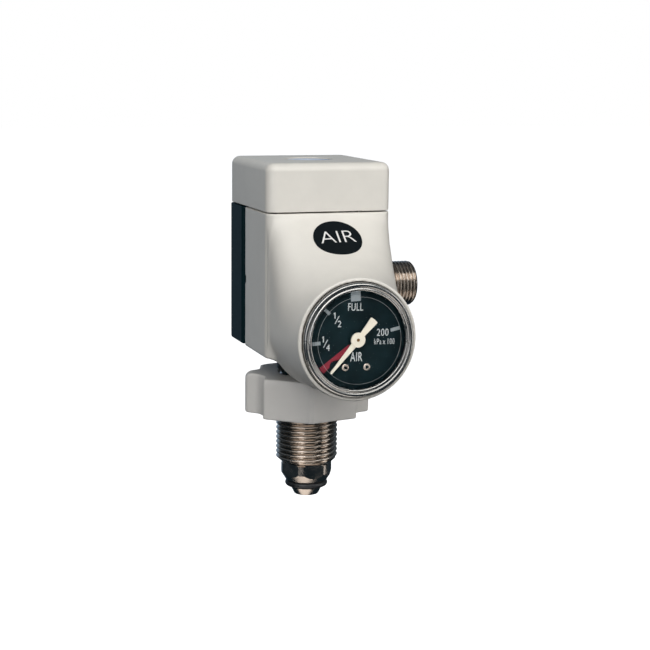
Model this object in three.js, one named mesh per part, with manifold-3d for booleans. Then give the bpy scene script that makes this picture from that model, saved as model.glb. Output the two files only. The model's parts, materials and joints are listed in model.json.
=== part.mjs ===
// Gas-cylinder air pressure regulator with a bullnose inlet, a handwheel and a contents gauge.
// Millimetres. The origin is the centre of the bullnose tip and +Z runs up the inlet stem.
// The gauge looks along -Y and the outlet leaves along +X.

import * as THREE from 'three';
import { mergeVertices } from 'three/addons/utils/BufferGeometryUtils.js';
import { ConvexGeometry } from 'three/addons/geometries/ConvexGeometry.js';
import Module from 'manifold-3d';

const wasm = await Module();
wasm.setup();

// ---- driving dimensions -------------------------------------------------------------------

const GAP = 0.3;                    // clearance between pieces that touch or were cut apart

// enclosure
const BODY_WIDTH = 45.8;            // X
const BODY_FRONT = -24.5;           // Y of the front face
const BODY_BACK = 25.0;             // Y of the cap's back face
const REAR_BACK = 26.1;             // Y of the rear cover's, which stands a little proud
const BODY_BOTTOM = 56.6;           // Z of the lower edge of both covers
const COVER_TOP = 107.8;            // Z of the upper edge of both covers
const CAP_BOTTOM = 108.3;
const CAP_TOP = 125.3;
const CAP_HOLE_RADIUS = 8.5;
const CAP_EDGE_RADIUS = 3.0;
const CORNER_RADIUS = 3.5;          // upright edges of the enclosure
const WALL = 2.2;
const SPLIT_FRONT = 4.0;            // Y where the front cover ends
const SPLIT_BACK = 8.0;             // Y where the rear cover's outer skin starts
const LIP_INSET = 1.2;              // the rear cover's lip lies this deep in the shadow gap
const FLOOR = 1.6;
const PAST = 1;                     // how far a cutting tool runs past the face it opens
const SCREW_HEIGHTS = [63.5, 82];   // the cover screws enter the block from the back, along -Y
const SCREW_TIP_Y = 13.2;
const SCREW_HEAD_Y = 25.2;          // outer face of the head, just under the cover's back
const SCREW_SHANK_RADIUS = 1.3;
const SCREW_HEAD_RADIUS = 2.9;
const SCREW_HEAD_DEPTH = 1.0;       // of the countersunk cone
const SCREW_HOLE_RADIUS = 1.6;
const SCREW_SINK_RADIUS = 3.2;
const SCREW_BOSS_RADIUS = 3.6;
const SCREW_BOSS_FACE = 18.2;       // Y of the bosses' inner end, at the block
const SNAP_SLOT_Z = 81.5;
const SNAP_SLOT_HEIGHT = 2.6;

// gauge hood on the front cover
const GAUGE_Z = 67.8;               // height of the gauge axis
const RIM_Y = -54.6;                // front edge of the hood
const RIM_RADIUS = 21.1;
const HOOD_ROOT_RADIUS = 22.5;      // half width of the hood where it leaves the cover
const HOOD_TOP = 107.5;
const HOOD_BORE = 19.95;            // the gauge stands in this bore
const HOOD_STATIONS = 6;
const HOOD_POINTS = 28;             // around each cross-section

// oval label on the hood
const LABEL_WIDTH = 17.6;
const LABEL_HEIGHT = 16;
const LABEL_Y = -33.3;
const LABEL_Z = 100.4;
const LABEL_SLOPE = 48;             // degrees from upright

// bottle connection: parallel thread G 5/8
const GLAND_THREAD_RADIUS = 11.455;
const GLAND_PITCH = 1.814;
const GLAND_BOTTOM = 13.0;
const WHEEL_BOTTOM = 31.6;
const WHEEL_TOP = 46.5;
const WHEEL_TURN = 13.8;            // degrees, from -Y towards -X, at rest
const STEM_RADIUS = 7.0;
const STEM_BORE = 2.2;
const NOSE_HEX = 17.7;              // across flats
const NOSE_BAR_RADIUS = 9.65;       // of the round bar that the hexagon is milled from
const NOSE_HEX_BOTTOM = 5.7;
const NOSE_GROOVE = { bottom: 2.9, top: 5.5, radius: 5.3 };
const NOSE_RING = { height: 4.2, radius: 6.75, thickness: 1.2 };
const FILTER_TOP = 9.6;
const FILTER_POCKET_RADIUS = 3.3;

// outlet: parallel thread G 3/8
const OUTLET_THREAD_RADIUS = 8.33;
const OUTLET_PITCH = 1.337;
const OUTLET_Z = 78.4;
const OUTLET_END = 40.7;            // X of the end face
const OUTLET_NECK_END = 32.3;
const OUTLET_NECK_RADIUS = 7.9;
const OUTLET_BORE = 3.6;
const OUTLET_SPIGOT = { start: 12.7, end: 18.2, radius: 6.0 };   // it sits in the block
const OUTLET_COLLAR = { end: 20.6, radius: 8.6 };

// pressure parts, along Z
const BLOCK_HALF_WIDTH = 18;        // along X
const BLOCK_HALF_DEPTH = 17;        // along Y
const BLOCK_CORNER = 4;
const BLOCK_BOTTOM = 58.5;
const BLOCK_TOP = 86.0;
const BOSS_BOTTOM = 48.0;
const BOSS_RADIUS = 11.2;
const STEM_TOP = 61.0;
const HIGH_CHAMBER_TOP = 73.0;
const HIGH_CHAMBER_RADIUS = 5.0;
const VALVE_SEAT_BOTTOM = 70.6;
const VALVE_SEAT_BORE = 1.75;
const POPPET_RADIUS = 3.3;
const POPPET_TAIL_RADIUS = 1.2;
const POPPET_TAIL_BOTTOM = 62.6;
const PIN_BORE = 1.8;
const PIN_RADIUS = 1.1;
const LOW_CHAMBER_FLOOR = 76.5;
const LOW_CHAMBER_RADIUS = 10.4;
const PISTON_BOTTOM = 81.6;         // held up there by its stop when no gas is on
const PISTON_TOP = 85.6;
const PISTON_GROOVE = { bottom: 82.5, top: 84.5, radius: 8.7 };
const PISTON_SPIGOT_RADIUS = 3.8;   // it centres the main spring
const PISTON_SPIGOT_TOP = 88.5;
const POPPET_HEAD = 67.4;           // Z of the valve head's underside
const BUTTON_RIM = 101.0;           // Z of the spring button's underside
const BUTTON_TOP = 104.4;
const SCREW_RADIUS = 2.2;           // adjusting screw
const SCREW_END = 98.0;             // Z of its lower end
const SCREW_COLLAR = 107.6;         // Z of the collar's upper face
const SCREW_COLLAR_RADIUS = 5.9;
const SCREW_COLLAR_DEPTH = 2;
const SCREW_HEAD_BODY_RADIUS = 4.1; // of the part that passes through the bonnet's roof
const MAIN_SPRING_RADIUS = 7.2;
const BONNET_TOP = 111.5;
const BONNET_RADIUS = 13.0;
const RELIEF_AXIS = [-13.2, 12.2];  // X and Y of the relief valve, which stands upright
const RELIEF_SEAT = 81.6;           // Z
const RELIEF_TOP = 95.0;
const RELIEF_RADIUS = 4.3;
const RELIEF_DRILL_Z = 79;

// gauge, as distances along Y
const CASE_BACK = -34.0;
const CASE_FRONT = -52.8;
const CASE_RADIUS = 19.0;
const CASE_SHEET = 1;               // thickness of its side
const CASE_HOLE = 5.4;              // the socket passes through it
const BEZEL_RADIUS = 19.7;
const BEZEL_FRONT = -56.2;
const BEZEL_BACK = -50.4;
const BEZEL_LIP = -55.5;            // underside of the lip that holds the lens
const DIAL_FRONT = -53.4;
const DIAL_RADIUS = 17.4;
const LENS_FRONT = -56.6;
const LENS_STEP_RADIUS = 14.8;
const LENS_BACK = -55.3;
const DIAL_TURN = -1.4;             // degrees anticlockwise: the gauge sits a little off upright
const DIAL_SCREW_PLACES = { dial_screw_left: -3.85, dial_screw_right: 3.85 };
const DIAL_SCREW_Y = -9.5;          // below the gauge axis
const POINTER_REST = -139;          // degrees clockwise from the dial's upright at zero pressure
const POINTER_LENGTH = 15.0;
const SECTOR_PIVOT_Z = -9.5;        // the sector's arbor, below the pointer's spindle
const SPINDLE_TEETH = 8;
const TOOTH_PITCH = 1.139;          // along the pitch circles of the spindle and the sector
const SECTOR_TEETH = 9;
const TAIL_LENGTH = 3.6;            // from the sector's arbor to the link's pin
const LINK_TIP_RADIUS = 14;         // the link's far pin, just inside the tube's tip
const BACK_PLATE = 42.1;            // in front of the stem's axis, like the next four
const FRONT_PLATE = 49.2;
const PLATE_THICKNESS = 0.8;
const SPINDLE_END = 54.2;
const TUBE_DEPTH = 42.2;
const TUBE_RADIUS = 15;             // of the Bourdon tube's curve
const ARBOR_RADIUS = 0.6;

// ---- materials ----------------------------------------------------------------------------

function finish(color, roughness, metalness = 0, extra = {}) {
  return new THREE.MeshStandardMaterial({ color, roughness, metalness, ...extra });
}

const OFF_WHITE = finish(0xe4e0d8, 0.42);
const DARK_TEAL = finish(0x13262d, 0.5);
const NICKEL = finish(0xa9a29b, 0.22, 1);
const BRASS = finish(0xb28a45, 0.3, 1);
const STEEL = finish(0x9a9c9f, 0.3, 1);
const CHROME = finish(0xd8d8d8, 0.1, 1);
const BLACK_RUBBER = finish(0x0c0c0d, 0.75);
const WHITE_PLASTIC = finish(0xece8df, 0.5);
const LABEL_BLACK = finish(0x0b0f12, 0.4);
const DIAL_BLACK = finish(0x0a191c, 0.55);
const IVORY = finish(0xe6dfc8, 0.45);
const CLEAR = finish(0xf2f6f8, 0.05, 0, { transparent: true, opacity: 0.3 });
const BRONZE = finish(0x8d6a3f, 0.8, 0.7);

// ---- shape helpers ------------------------------------------------------------------------

const radians = THREE.MathUtils.degToRad;

// Shared vertices, and no triangle without area.
function welded(geometry) {
  const bare = geometry.index ? geometry.clone() : geometry;
  bare.deleteAttribute('normal');
  bare.deleteAttribute('uv');
  const merged = mergeVertices(bare, 1e-4);
  const kept = [];
  const index = merged.index.array;
  for (let i = 0; i < index.length; i += 3) {
    const [a, b, c] = [index[i], index[i + 1], index[i + 2]];
    if (a !== b && b !== c && c !== a) {
      kept.push(a, b, c);
    }
  }
  merged.setIndex(kept);
  return merged;
}

function solid(geometry) {
  const merged = welded(geometry);
  return new wasm.Manifold(new wasm.Mesh({
    numProp: 3,
    vertProperties: new Float32Array(merged.attributes.position.array),
    triVerts: new Uint32Array(merged.index.array),
  }));
}

function surface(manifold) {
  const mesh = manifold.getMesh();
  const geometry = new THREE.BufferGeometry();
  geometry.setAttribute('position', new THREE.BufferAttribute(mesh.vertProperties, 3));
  geometry.setIndex(new THREE.BufferAttribute(mesh.triVerts, 1));
  return geometry;
}

function joined(...geometries) {
  return surface(geometries.map(solid).reduce((sum, next) => sum.add(next)));
}

function cut(geometry, ...tools) {
  return surface(tools.map(solid).reduce((left, tool) => left.subtract(tool), solid(geometry)));
}

function common(first, second) {
  return surface(solid(first).intersect(solid(second)));
}

// A profile of [radius, height] corners revolved about Z. It starts and ends on the axis, or
// closes on itself. The corners go anticlockwise seen with the axis on the left.
function turned(profile, segments = 20) {
  const onAxis = profile[0][0] === 0 && profile.at(-1)[0] === 0;
  const loop = onAxis ? profile : [...profile, profile[0]];
  const points = loop.map(([radius, height]) => new THREE.Vector2(radius, height));
  return new THREE.LatheGeometry(points, segments).rotateX(Math.PI / 2);
}

function tube(inner, outer, bottom, top, segments = 20) {
  return turned([[inner, bottom], [outer, bottom], [outer, top], [inner, top]], segments);
}

function rod(radius, bottom, top, segments = 20) {
  return turned([[0, bottom], [radius, bottom], [radius, top], [0, top]], segments);
}

function block(x0, x1, y0, y1, z0, z1) {
  const box = new THREE.BoxGeometry(x1 - x0, y1 - y0, z1 - z0);
  return box.translate((x0 + x1) / 2, (y0 + y1) / 2, (z0 + z1) / 2);
}

function extruded(shape, bottom, top, curveSegments = 4) {
  const options = { depth: top - bottom, bevelEnabled: false, curveSegments };
  return new THREE.ExtrudeGeometry(shape, options).translate(0, 0, bottom);
}

function roundedRectangle(x0, x1, y0, y1, radius) {
  const shape = new THREE.Shape();
  shape.absarc(x1 - radius, y0 + radius, radius, -Math.PI / 2, 0);
  shape.absarc(x1 - radius, y1 - radius, radius, 0, Math.PI / 2);
  shape.absarc(x0 + radius, y1 - radius, radius, Math.PI / 2, Math.PI);
  shape.absarc(x0 + radius, y0 + radius, radius, Math.PI, 1.5 * Math.PI);
  return shape;
}

function polygonPrism(sides, acrossFlats, bottom, top, firstCorner = 0) {
  const shape = new THREE.Shape();
  const radius = acrossFlats / 2 / Math.cos(Math.PI / sides);
  for (let i = 0; i < sides; i += 1) {
    const angle = firstCorner + i * 2 * Math.PI / sides;
    shape[i ? 'lineTo' : 'moveTo'](radius * Math.cos(angle), radius * Math.sin(angle));
  }
  return extruded(shape, bottom, top);
}

// A torus about Z.
function ring(radius, thickness, height, segments = 20) {
  return new THREE.TorusGeometry(radius, thickness, 6, segments).translate(0, 0, height);
}

// A round wire along a curve.
function wire(curve, radius, steps, sides = 6) {
  const section = new THREE.Shape();
  for (let i = 0; i < sides; i += 1) {
    const angle = i * 2 * Math.PI / sides;
    section[i ? 'lineTo' : 'moveTo'](radius * Math.cos(angle), radius * Math.sin(angle));
  }
  return new THREE.ExtrudeGeometry(section, { steps, bevelEnabled: false, extrudePath: curve });
}

class Helix extends THREE.Curve {
  constructor(radius, bottom, top, turns) {
    super();
    Object.assign(this, { radius, bottom, top, turns });
  }

  getPoint(t, target = new THREE.Vector3()) {
    const angle = 2 * Math.PI * this.turns * t;
    const height = this.bottom + (this.top - this.bottom) * t;
    return target.set(this.radius * Math.cos(angle), this.radius * Math.sin(angle), height);
  }
}

// A compression spring whose wire lies between two heights.
function coilSpring(radius, wireRadius, bottom, top, turns, stepsPerTurn = 8) {
  const curve = new Helix(radius, bottom + wireRadius, top - wireRadius, turns);
  return wire(curve, wireRadius, turns * stepsPerTurn, 4);
}

// The zigzag flank of an external thread between two heights, as ridges of one profile.
function threadFlank(crest, pitch, bottom, top) {
  const root = crest - 0.64 * pitch;
  const count = Math.floor((top - bottom) / pitch);
  const profile = [[root, bottom]];
  for (let i = 0; i < count; i += 1) {
    const start = bottom + i * pitch;
    profile.push([crest, start + 0.5 * pitch], [root, start + pitch]);
  }
  profile.push([root, top]);
  return profile;
}

const model = new THREE.Group();

function piece(name, geometry, material, parent = model) {
  const mesh = new THREE.Mesh(geometry, material);
  mesh.name = name;
  parent.add(mesh);
  return mesh;
}

// Geometry drawn along +Z moves to run along -Y, out of the gauge's face: its X stays X.
function facingFront(geometry) {
  return geometry.rotateX(Math.PI / 2);
}

// Geometry drawn along +Z moves to run along +X, out of the outlet.
function facingRight(geometry) {
  return geometry.rotateY(Math.PI / 2);
}

// ---- enclosure ----------------------------------------------------------------------------

function enclosurePrism(bottom, top, inset = 0, back = BODY_BACK) {
  const half = BODY_WIDTH / 2 - inset;
  const radius = CORNER_RADIUS - Math.min(inset, CORNER_RADIUS - 1);
  const outline = roundedRectangle(-half, half, BODY_FRONT + inset, back - inset, radius);
  return extruded(outline, bottom, top);
}

// One upright cross-section of the hood: round below the gauge axis, and above it an arch that
// is nearly square where it leaves the cover and becomes round at the rim.
function hoodSection(fraction, wall) {
  const remaining = Math.max(0, 1 - fraction);
  const rise = remaining ** 1.7;
  const squareness = 2 + 6 * remaining ** 4;
  const half = HOOD_ROOT_RADIUS + (RIM_RADIUS - HOOD_ROOT_RADIUS) * fraction - wall;
  const height = RIM_RADIUS + (HOOD_TOP - GAUGE_Z - RIM_RADIUS) * rise - wall;
  const y = BODY_FRONT + (RIM_Y - BODY_FRONT) * fraction;
  const points = [];
  for (let i = 0; i < HOOD_POINTS; i += 1) {
    const angle = i * 2 * Math.PI / HOOD_POINTS;
    const upper = Math.sin(angle) > 0;
    const power = upper ? 2 / squareness : 1;
    const across = Math.sign(Math.cos(angle)) * Math.abs(Math.cos(angle)) ** power;
    const up = Math.sign(Math.sin(angle)) * Math.abs(Math.sin(angle)) ** power;
    points.push(new THREE.Vector3(half * across, y, GAUGE_Z + (upper ? height : half) * up));
  }
  return points;
}

// The hood between two fractions of its length, as slabs that each join two cross-sections.
function hoodLoft(from, to, wallAt) {
  const slabs = [];
  for (let i = 0; i < HOOD_STATIONS; i += 1) {
    const near = from + (to - from) * i / HOOD_STATIONS;
    const far = from + (to - from) * (i + 1) / HOOD_STATIONS;
    const outline = [...hoodSection(near, wallAt(near)), ...hoodSection(far, wallAt(far))];
    slabs.push(new ConvexGeometry(outline));
  }
  return joined(...slabs);
}

function outletHole() {
  return facingRight(rod(OUTLET_THREAD_RADIUS + 0.7, 10, 30)).translate(0, 0, OUTLET_Z);
}

function bossHole() {
  return rod(BOSS_RADIUS + 0.5, BODY_BOTTOM - 1, BLOCK_BOTTOM);
}

function topCap() {
  const half = BODY_WIDTH / 2;
  const outline = roundedRectangle(-half, half, BODY_FRONT, BODY_BACK, CORNER_RADIUS);
  const lower = extruded(outline, CAP_BOTTOM, CAP_TOP - CAP_EDGE_RADIUS);
  const crown = new THREE.ExtrudeGeometry(
    roundedRectangle(-half + CAP_EDGE_RADIUS, half - CAP_EDGE_RADIUS,
      BODY_FRONT + CAP_EDGE_RADIUS, BODY_BACK - CAP_EDGE_RADIUS, 1),
    {
      depth: 0.02, bevelEnabled: true, bevelThickness: CAP_EDGE_RADIUS - 0.02,
      bevelSize: CAP_EDGE_RADIUS, bevelSegments: 3, curveSegments: 3,
    },
  ).translate(0, 0, CAP_TOP - CAP_EDGE_RADIUS);
  const upper = common(crown, extruded(outline, CAP_TOP - CAP_EDGE_RADIUS - 0.01, CAP_TOP));
  const cavity = enclosurePrism(CAP_BOTTOM - 1, CAP_TOP - 3.2, WALL);
  const well = rod(CAP_HOLE_RADIUS + 1.8, BONNET_TOP + 3.2, CAP_TOP - 3);
  const hole = rod(CAP_HOLE_RADIUS, CAP_BOTTOM - 2, CAP_TOP + 1, 40);
  return cut(joined(cut(joined(lower, upper), cavity), well), hole);
}

function frontCover() {
  const thickness = (fraction) => WALL + (RIM_RADIUS - HOOD_BORE - WALL) * Math.min(1, fraction);
  const split = block(-30, 30, -30, SPLIT_FRONT, BODY_BOTTOM - 1, COVER_TOP + 1);
  const box = common(enclosurePrism(BODY_BOTTOM, COVER_TOP), split);
  const shell = joined(box, hoodLoft(-0.01, 1, () => 0));
  const room = enclosurePrism(BODY_BOTTOM + FLOOR, COVER_TOP + 1, WALL);
  const bore = hoodLoft(0.07, 1.03, thickness);
  const passage = block(-16, 16, BODY_FRONT - 4, BODY_FRONT + 4, BODY_BOTTOM + 3, COVER_TOP - 5);
  const roof = block(-20, 20, BODY_FRONT + 0.8, BODY_FRONT + 6, COVER_TOP - 1.8, COVER_TOP);
  const slotX = -BODY_WIDTH / 2;
  const slot = block(slotX - 1, slotX + 1, SPLIT_FRONT - 0.7, SPLIT_FRONT + 1,
    SNAP_SLOT_Z - SNAP_SLOT_HEIGHT / 2, SNAP_SLOT_Z + SNAP_SLOT_HEIGHT / 2);
  const hollow = cut(shell, room, bore, passage, slot, outletHole(), bossHole());
  return joined(hollow, roof);
}

function rearCover() {
  const skinSide = block(-30, 30, SPLIT_BACK, 30, BODY_BOTTOM - 1, COVER_TOP + 1);
  const skin = common(enclosurePrism(BODY_BOTTOM, COVER_TOP, 0, REAR_BACK), skinSide);
  const lipSide = block(-30, 30, SPLIT_FRONT + GAP, SPLIT_BACK + 1, BODY_BOTTOM, COVER_TOP);
  const lip = common(enclosurePrism(BODY_BOTTOM, COVER_TOP, LIP_INSET), lipSide);
  const room = enclosurePrism(BODY_BOTTOM + FLOOR, COVER_TOP + 1, WALL + LIP_INSET, REAR_BACK);
  const shell = cut(joined(skin, lip), room, outletHole(), bossHole());
  const boss = (z) => screwAxis(
    tube(SCREW_HOLE_RADIUS, SCREW_BOSS_RADIUS, SCREW_BOSS_FACE, REAR_BACK - 3), z);
  const bosses = SCREW_HEIGHTS.map(boss);
  const holes = SCREW_HEIGHTS.map((z) => screwAxis(turned([
    [0, 15], [SCREW_HOLE_RADIUS, 15], [SCREW_HOLE_RADIUS, REAR_BACK - 2.3],
    [SCREW_SINK_RADIUS, SCREW_HEAD_Y], [SCREW_SINK_RADIUS, 30], [0, 30],
  ]), z));
  return cut(joined(shell, ...bosses), ...holes);
}

function screwAxis(geometry, z) {
  return geometry.rotateX(-Math.PI / 2).translate(0, 0, z);
}

function coverScrew(z) {
  const head = turned([
    [0, SCREW_TIP_Y], [SCREW_SHANK_RADIUS, SCREW_TIP_Y],
    [SCREW_SHANK_RADIUS, SCREW_HEAD_Y - SCREW_HEAD_DEPTH], [SCREW_HEAD_RADIUS, SCREW_HEAD_Y],
    [0, SCREW_HEAD_Y],
  ], 20);
  const slot = block(-2, 2, -0.35, 0.35, REAR_BACK - 1.5, REAR_BACK);
  return screwAxis(cut(head, slot), z);
}

// An oval film that follows the hood's slope.
function gasLabel() {
  const film = cut(hoodLoft(0, 1, () => -0.45), hoodLoft(-0.02, 1.02, () => -0.1));
  const oval = new THREE.Shape().absellipse(0, 0, LABEL_WIDTH / 2, LABEL_HEIGHT / 2, 0, 2 * Math.PI);
  const punch = extruded(oval, -5, 5, 20).rotateX(radians(90 - LABEL_SLOPE));
  return common(film, punch.translate(0, LABEL_Y, LABEL_Z));
}

piece('top_cap', topCap(), OFF_WHITE);
piece('front_cover', frontCover(), OFF_WHITE);
piece('rear_cover', rearCover(), DARK_TEAL);
piece('cover_screw_lower', coverScrew(SCREW_HEIGHTS[0]), STEEL);
piece('cover_screw_upper', coverScrew(SCREW_HEIGHTS[1]), STEEL);

piece('air_label', gasLabel(), LABEL_BLACK);

// ---- pressure parts -----------------------------------------------------------------------

function regulatorBody() {
  const plan = roundedRectangle(-BLOCK_HALF_WIDTH, BLOCK_HALF_WIDTH,
    -BLOCK_HALF_DEPTH, BLOCK_HALF_DEPTH, BLOCK_CORNER);
  const cube = extruded(plan, BLOCK_BOTTOM, BLOCK_TOP);
  const boss = rod(BOSS_RADIUS, BOSS_BOTTOM, BLOCK_BOTTOM + 1);
  const bores = turned([
    [0, BOSS_BOTTOM - 1], [STEM_RADIUS + 0.1, BOSS_BOTTOM - 1],
    [STEM_RADIUS + 0.1, STEM_TOP + 0.3], [HIGH_CHAMBER_RADIUS, STEM_TOP + 0.3],
    [HIGH_CHAMBER_RADIUS, HIGH_CHAMBER_TOP], [PIN_BORE, HIGH_CHAMBER_TOP],
    [PIN_BORE, LOW_CHAMBER_FLOOR], [LOW_CHAMBER_RADIUS, LOW_CHAMBER_FLOOR],
    [LOW_CHAMBER_RADIUS, BLOCK_TOP + 1], [0, BLOCK_TOP + 1],
  ]);
  const outletSeat = facingRight(rod(6.1, 12.5, 19)).translate(0, 0, OUTLET_Z);
  const outletDrill = facingRight(rod(1.7, 8, 13, 16)).translate(0, 0, OUTLET_Z);
  const gaugeSeat = facingFront(rod(4.9, 11, 18)).translate(0, 0, GAUGE_Z);
  const gaugeDrill = facingFront(rod(1.3, 3, 12, 16)).translate(0, 0, GAUGE_Z);
  const [reliefX, reliefY] = RELIEF_AXIS;
  const reliefSeat = rod(3.6, 79.5, BLOCK_TOP + 1).translate(reliefX, reliefY, 0);
  const reliefWell = rod(1.4, 78.2, 80, 16).translate(reliefX, reliefY, 0);
  const reliefDrill = wire(new THREE.LineCurve3(
    new THREE.Vector3(-5, 5, RELIEF_DRILL_Z),
    new THREE.Vector3(reliefX, reliefY, RELIEF_DRILL_Z),
  ), 0.9, 1, 12);
  const screwHoles = SCREW_HEIGHTS.map((z) => screwAxis(rod(1.4, 12.8, 18, 20), z));
  return cut(joined(cube, boss), bores, outletSeat, outletDrill, gaugeSeat, gaugeDrill,
    reliefSeat, reliefWell, reliefDrill, ...screwHoles);
}

function bonnet() {
  const inner = LOW_CHAMBER_RADIUS + 0.2;
  return turned([
    [inner, BLOCK_TOP + 0.1], [BONNET_RADIUS, BLOCK_TOP + 0.1], [BONNET_RADIUS, BONNET_TOP - 8],
    [7.8, BONNET_TOP], [4.2, BONNET_TOP], [4.2, BONNET_TOP - 3.5], [7.2, BONNET_TOP - 3.5],
    [inner, BONNET_TOP - 9],
  ]);
}

// The bottle end: a shank inside the gland nut, a hexagon, an O-ring groove and a blunt cone.
function bullnoseStem() {
  const shank = turned([
    [0, GLAND_BOTTOM - 0.5], [STEM_RADIUS, GLAND_BOTTOM - 0.5], [STEM_RADIUS, STEM_TOP - 0.8],
    [STEM_RADIUS - 0.8, STEM_TOP], [0, STEM_TOP],
  ]);
  const chamfered = turned([
    [0, NOSE_HEX_BOTTOM], [7.85, NOSE_HEX_BOTTOM], [NOSE_BAR_RADIUS, 8.6],
    [NOSE_BAR_RADIUS, GLAND_BOTTOM - GAP], [0, GLAND_BOTTOM - GAP],
  ], 36);
  const hexagon = common(polygonPrism(6, NOSE_HEX, NOSE_GROOVE.top, GLAND_BOTTOM), chamfered);
  const { bottom, top, radius } = NOSE_GROOVE;
  const tip = turned([
    [0, 0], [4.3, 0], [4.65, 0.3], [5.8, 2.7], [radius, bottom], [radius, top], [7.7, top],
    [7.7, top + 1], [0, top + 1],
  ]);
  const filterPocket = rod(FILTER_POCKET_RADIUS, -PAST, FILTER_TOP);
  const passage = rod(STEM_BORE, top - 0.5, STEM_TOP + PAST, 20);
  return cut(joined(shank, hexagon, tip), passage, filterPocket);
}

function glandNut() {
  const bore = STEM_RADIUS + 0.12;
  const collar = 10.2;
  return turned([
    [bore, GLAND_BOTTOM], [9.9, GLAND_BOTTOM],
    ...threadFlank(GLAND_THREAD_RADIUS, GLAND_PITCH, GLAND_BOTTOM + 0.6, WHEEL_BOTTOM - 0.3),
    [collar, WHEEL_BOTTOM - 0.3], [collar, WHEEL_TOP - 0.5], [bore, WHEEL_TOP - 0.5],
  ]);
}

// Wide lobes at the front and the back, each of two flats either side of a ridge, and a narrow
// lobe on each side, with a scooped finger notch between each two of them.
function handwheelOutline() {
  const at = (degrees, radius) => {
    const angle = -Math.PI / 2 - radians(degrees + WHEEL_TURN);
    return [radius * Math.cos(angle), radius * Math.sin(angle)];
  };
  const outline = new THREE.Shape();
  outline.moveTo(...at(-2, 22.9));
  for (const side of [0, 180]) {
    outline.lineTo(...at(side + 2, 22.9));
    outline.lineTo(...at(side + 49, 22.3));
    outline.quadraticCurveTo(...at(side + 52, 22.3), ...at(side + 54, 21));
    outline.quadraticCurveTo(...at(side + 68, 16.6), ...at(side + 81, 22.3));
    outline.quadraticCurveTo(...at(side + 83, 23), ...at(side + 86, 23.1));
    outline.lineTo(...at(side + 94, 23.1));
    outline.quadraticCurveTo(...at(side + 97, 23), ...at(side + 99, 22.3));
    outline.quadraticCurveTo(...at(side + 112, 16.6), ...at(side + 126, 21));
    outline.quadraticCurveTo(...at(side + 128, 22.3), ...at(side + 131, 22.3));
    outline.lineTo(...at(side + 178, 22.9));
  }
  return outline;
}

function handwheel() {
  const lobes = extruded(handwheelOutline(), WHEEL_BOTTOM, WHEEL_TOP, 5);
  const dome = turned([
    [0, WHEEL_BOTTOM - 1], [24, WHEEL_BOTTOM - 1], [23.2, WHEEL_TOP - 3.2],
    [22.3, WHEEL_TOP - 1], [20.3, WHEEL_TOP - 0.1], [19.6, WHEEL_TOP], [0, WHEEL_TOP],
  ], 28);
  return cut(common(lobes, dome), rod(10.5, WHEEL_BOTTOM - 1, WHEEL_TOP + 1));
}

function valveSeat() {
  return tube(VALVE_SEAT_BORE, HIGH_CHAMBER_RADIUS - 0.1, VALVE_SEAT_BOTTOM, HIGH_CHAMBER_TOP - 0.1);
}

// The head closes on the seat from below; the tail guides the spring.
function valvePoppet() {
  return turned([
    [0, POPPET_TAIL_BOTTOM], [POPPET_TAIL_RADIUS, POPPET_TAIL_BOTTOM],
    [POPPET_TAIL_RADIUS, POPPET_HEAD], [POPPET_RADIUS, POPPET_HEAD],
    [POPPET_RADIUS, POPPET_HEAD + 1.6], [2.4, POPPET_HEAD + 2.2], [0, POPPET_HEAD + 2.2],
  ], 20);
}

// A disc with a groove for its O-ring, a pin that opens the valve and a spigot for the spring.
function piston() {
  const skirt = LOW_CHAMBER_RADIUS - 0.1;
  const { bottom, top, radius } = PISTON_GROOVE;
  return turned([
    [0, POPPET_HEAD + 2.5], [PIN_RADIUS, POPPET_HEAD + 2.5], [PIN_RADIUS, PISTON_BOTTOM],
    [skirt, PISTON_BOTTOM], [skirt, bottom], [radius, bottom], [radius, top], [skirt, top],
    [skirt, PISTON_TOP], [PISTON_SPIGOT_RADIUS, PISTON_TOP],
    [PISTON_SPIGOT_RADIUS, PISTON_SPIGOT_TOP], [0, PISTON_SPIGOT_TOP],
  ]);
}

// The ring that the piston stands on when the outlet is empty.
function pistonStop() {
  return tube(8.2, LOW_CHAMBER_RADIUS - 0.1, LOW_CHAMBER_FLOOR + 4.0, PISTON_BOTTOM - 0.1);
}

function springButton() {
  const disc = turned([
    [0, BUTTON_RIM - 2], [3.6, BUTTON_RIM - 2], [3.6, BUTTON_RIM], [9.9, BUTTON_RIM],
    [9.9, BUTTON_RIM + 1.6], [5.2, BUTTON_TOP], [0, BUTTON_TOP],
  ]);
  return cut(disc, rod(SCREW_RADIUS + 0.1, BUTTON_RIM - 3, BUTTON_TOP + 1));
}

// Held by its collar under the bonnet's roof, it turns in place and draws the button along.
function adjustingScrew() {
  const screw = turned([
    [0, SCREW_END], [SCREW_RADIUS, SCREW_END], [SCREW_RADIUS, SCREW_COLLAR - SCREW_COLLAR_DEPTH],
    [SCREW_COLLAR_RADIUS, SCREW_COLLAR - SCREW_COLLAR_DEPTH], [SCREW_COLLAR_RADIUS, SCREW_COLLAR],
    [SCREW_HEAD_BODY_RADIUS, SCREW_COLLAR], [SCREW_HEAD_BODY_RADIUS, BONNET_TOP + 2.2],
    [SCREW_HEAD_BODY_RADIUS - 0.5, BONNET_TOP + 2.7], [0, BONNET_TOP + 2.7],
  ]);
  return cut(screw, polygonPrism(6, 4, BONNET_TOP - 1.5, BONNET_TOP + 4));
}

function onReliefAxis(geometry) {
  return geometry.translate(...RELIEF_AXIS, 0);
}

function reliefBody() {
  return onReliefAxis(turned([
    [1.1, 80.0], [3.5, 80.0], [3.5, BLOCK_TOP + 0.2], [RELIEF_RADIUS, BLOCK_TOP + 0.2],
    [RELIEF_RADIUS, RELIEF_TOP], [3.0, RELIEF_TOP], [3.0, RELIEF_SEAT], [1.1, RELIEF_SEAT],
  ], 20));
}

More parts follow.
